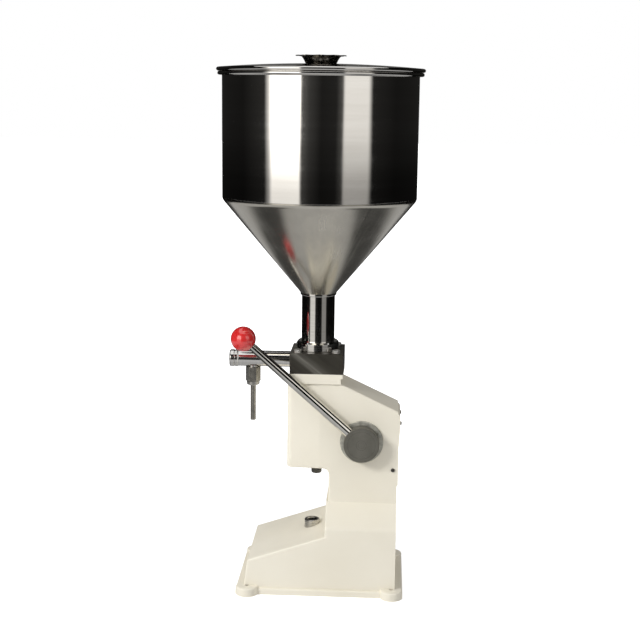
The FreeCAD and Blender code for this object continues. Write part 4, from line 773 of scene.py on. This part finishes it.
def floor():
    """Pale floor that keeps the machine's shadow."""
    material = bpy.data.materials.new("studio_floor")
    material.use_nodes = True
    tree = material.node_tree
    tree.nodes.clear()
    matt = add(tree, "BsdfDiffuse", {"Color": (0.84, 0.84, 0.84, 1)})
    reach = add(tree, "VectorMath", {0: spot(tree)}, operation="LENGTH").outputs["Value"]
    level = span(tree, reach, FLOOR_NEAR, FLOOR_FAR, GLOW_STARTS, GLOW_ENDS)
    shown = maths(tree, "MULTIPLY", seen_directly(tree), level)
    glow = add(tree, "Emission", {"Color": (1, 1, 1, 1), "Strength": shown})
    both = add(tree, "AddShader", {0: matt.outputs[0], 1: glow.outputs[0]})
    add(tree, "OutputMaterial", {"Surface": both.outputs[0]})
    bm = bmesh.new()
    bmesh.ops.create_grid(bm, x_segments=1, y_segments=1, size=FLOOR_SIZE / 2)
    staged("studio_floor", bm, material)


def staged(name, bm, material):
    """Put the mesh in the scene with its material; it rides on no body."""
    mesh = bpy.data.meshes.new(name)
    bm.to_mesh(mesh)
    bm.free()
    mesh.materials.append(material)
    thing = bpy.data.objects.new(name, mesh)
    scene.collection.objects.link(thing)
    return thing


def only_in_reflections(thing):
    """Polished metal shows it; it neither lights nor shades anything."""
    thing.visible_camera = False
    thing.visible_diffuse = False
    thing.visible_shadow = False
    thing.visible_transmission = False
    thing.visible_volume_scatter = False


# Grey levels round the machine by the angle from +X towards +Y in degrees, and how much of them is left by the
# share of the wall's height
WALL_LEVELS = [(-180, 0.10), (-166, 0.10), (-160, 0.015), (-92, 0.010), (-60, 0.03), (-55, 0.9), (-51, 2.9),
               (-19.2, 2.9), (-17.8, 0.14), (-9, 0.05), (4, 0.015), (20, 0.02), (26.5, 0.10), (28.8, 1.02),
               (56, 1.02), (61, 0.02), (95, 0.010), (160, 0.015), (166, 0.10), (180, 0.10)]
WALL_HEIGHTS = [(0, 0.25), (0.1267, 0.28), (0.1852, 0.33), (0.2082, 0.42), (0.2502, 0.92), (0.3, 1),
                (0.5067, 1), (0.5542, 0.06), (1, 0.06)]
WALL_TINT = (1.0, 0.975, 0.93)


def dark_wall():
    """Dark studio wall with two tall soft boxes beside the camera and a faint one behind the machine."""
    material, tree, glow = glowing("dark_wall")
    parts = add(tree, "SeparateXYZ", {0: spot(tree)})
    angle = maths(tree, "ARCTAN2", parts.outputs[1], parts.outputs[0])
    around = span(tree, angle, 0, 1, -math.pi, math.pi)
    brightest = max(level for _, level in WALL_LEVELS)
    stops = [((degrees + 180) / 360, level / brightest) for degrees, level in WALL_LEVELS]
    upwards = span(tree, parts.outputs[2], 0, 1, 0, WALL_TOP)
    factors = {0: ramp(tree, around, stops), 1: ramp(tree, upwards, WALL_HEIGHTS)}
    shade = add(tree, "VectorMath", factors, operation="MULTIPLY").outputs[0]
    tinted = add(tree, "VectorMath", {0: shade, 1: WALL_TINT}, operation="MULTIPLY").outputs[0]
    tree.links.new(tinted, glow.inputs["Color"])
    glow.inputs["Strength"].default_value = brightest
    bm = bmesh.new()
    angles = [math.tau * step / WALL_FACES for step in range(WALL_FACES)]
    around = [(WALL_RADIUS * math.cos(angle), WALL_RADIUS * math.sin(angle)) for angle in angles]
    low = [bm.verts.new((x, y, 0.0)) for x, y in around]
    high = [bm.verts.new((x, y, WALL_TOP)) for x, y in around]
    for step in range(WALL_FACES):
        bm.faces.new((low[step], low[step - 1], high[step - 1], high[step]))
    only_in_reflections(staged("dark_wall", bm, material))


# Grey levels of the table top by the distance from its middle in metres. The pattern is drawn out towards the
# camera, and in front of the machine one even grey takes over.
TABLE_STRETCH = (0.35, 1.0, 0.0)
TABLE_LEVELS = [(0.0, 0.42), (0.25, 0.42), (0.31, 0.06), (0.50, 0.06), (0.60, 0.45), (1.4, 0.45)]
TABLE_FRONT, FRONT_STARTS, FRONT_ENDS = 0.5, 0.20, 0.45
TABLE_HEIGHT = 0.001


def table_card():
    """Grey table top that polished metal shows below the machine."""
    material, tree, glow = glowing("table_card")
    reach = add(tree, "VectorMath", {0: spot(tree, TABLE_STRETCH)}, operation="LENGTH").outputs["Value"]
    stops = [(distance / WALL_RADIUS, level) for distance, level in TABLE_LEVELS]
    pattern = ramp(tree, span(tree, reach, 0, 1, 0, WALL_RADIUS), stops)
    ahead = add(tree, "SeparateXYZ", {0: spot(tree)}).outputs[0]
    front = span(tree, ahead, 0, 1, FRONT_STARTS, FRONT_ENDS)
    plain = (TABLE_FRONT, TABLE_FRONT, TABLE_FRONT, 1)
    tree.links.new(blend(tree, front, pattern, plain), glow.inputs["Color"])
    bm = bmesh.new()
    bmesh.ops.create_circle(bm, cap_ends=True, segments=WALL_FACES, radius=WALL_RADIUS)
    bmesh.ops.translate(bm, verts=bm.verts, vec=(0, 0, TABLE_HEIGHT))
    only_in_reflections(staged("table_card", bm, material))


scene.view_settings.view_transform = "Standard"
place_camera()
world()
lamps()
floor()
dark_wall()
table_card()
dress_solids()
hopper()
lid()
lid_knob()
head_bolts()
outlet()
nozzle()
lever()
stroke_stop()
cover_screws()
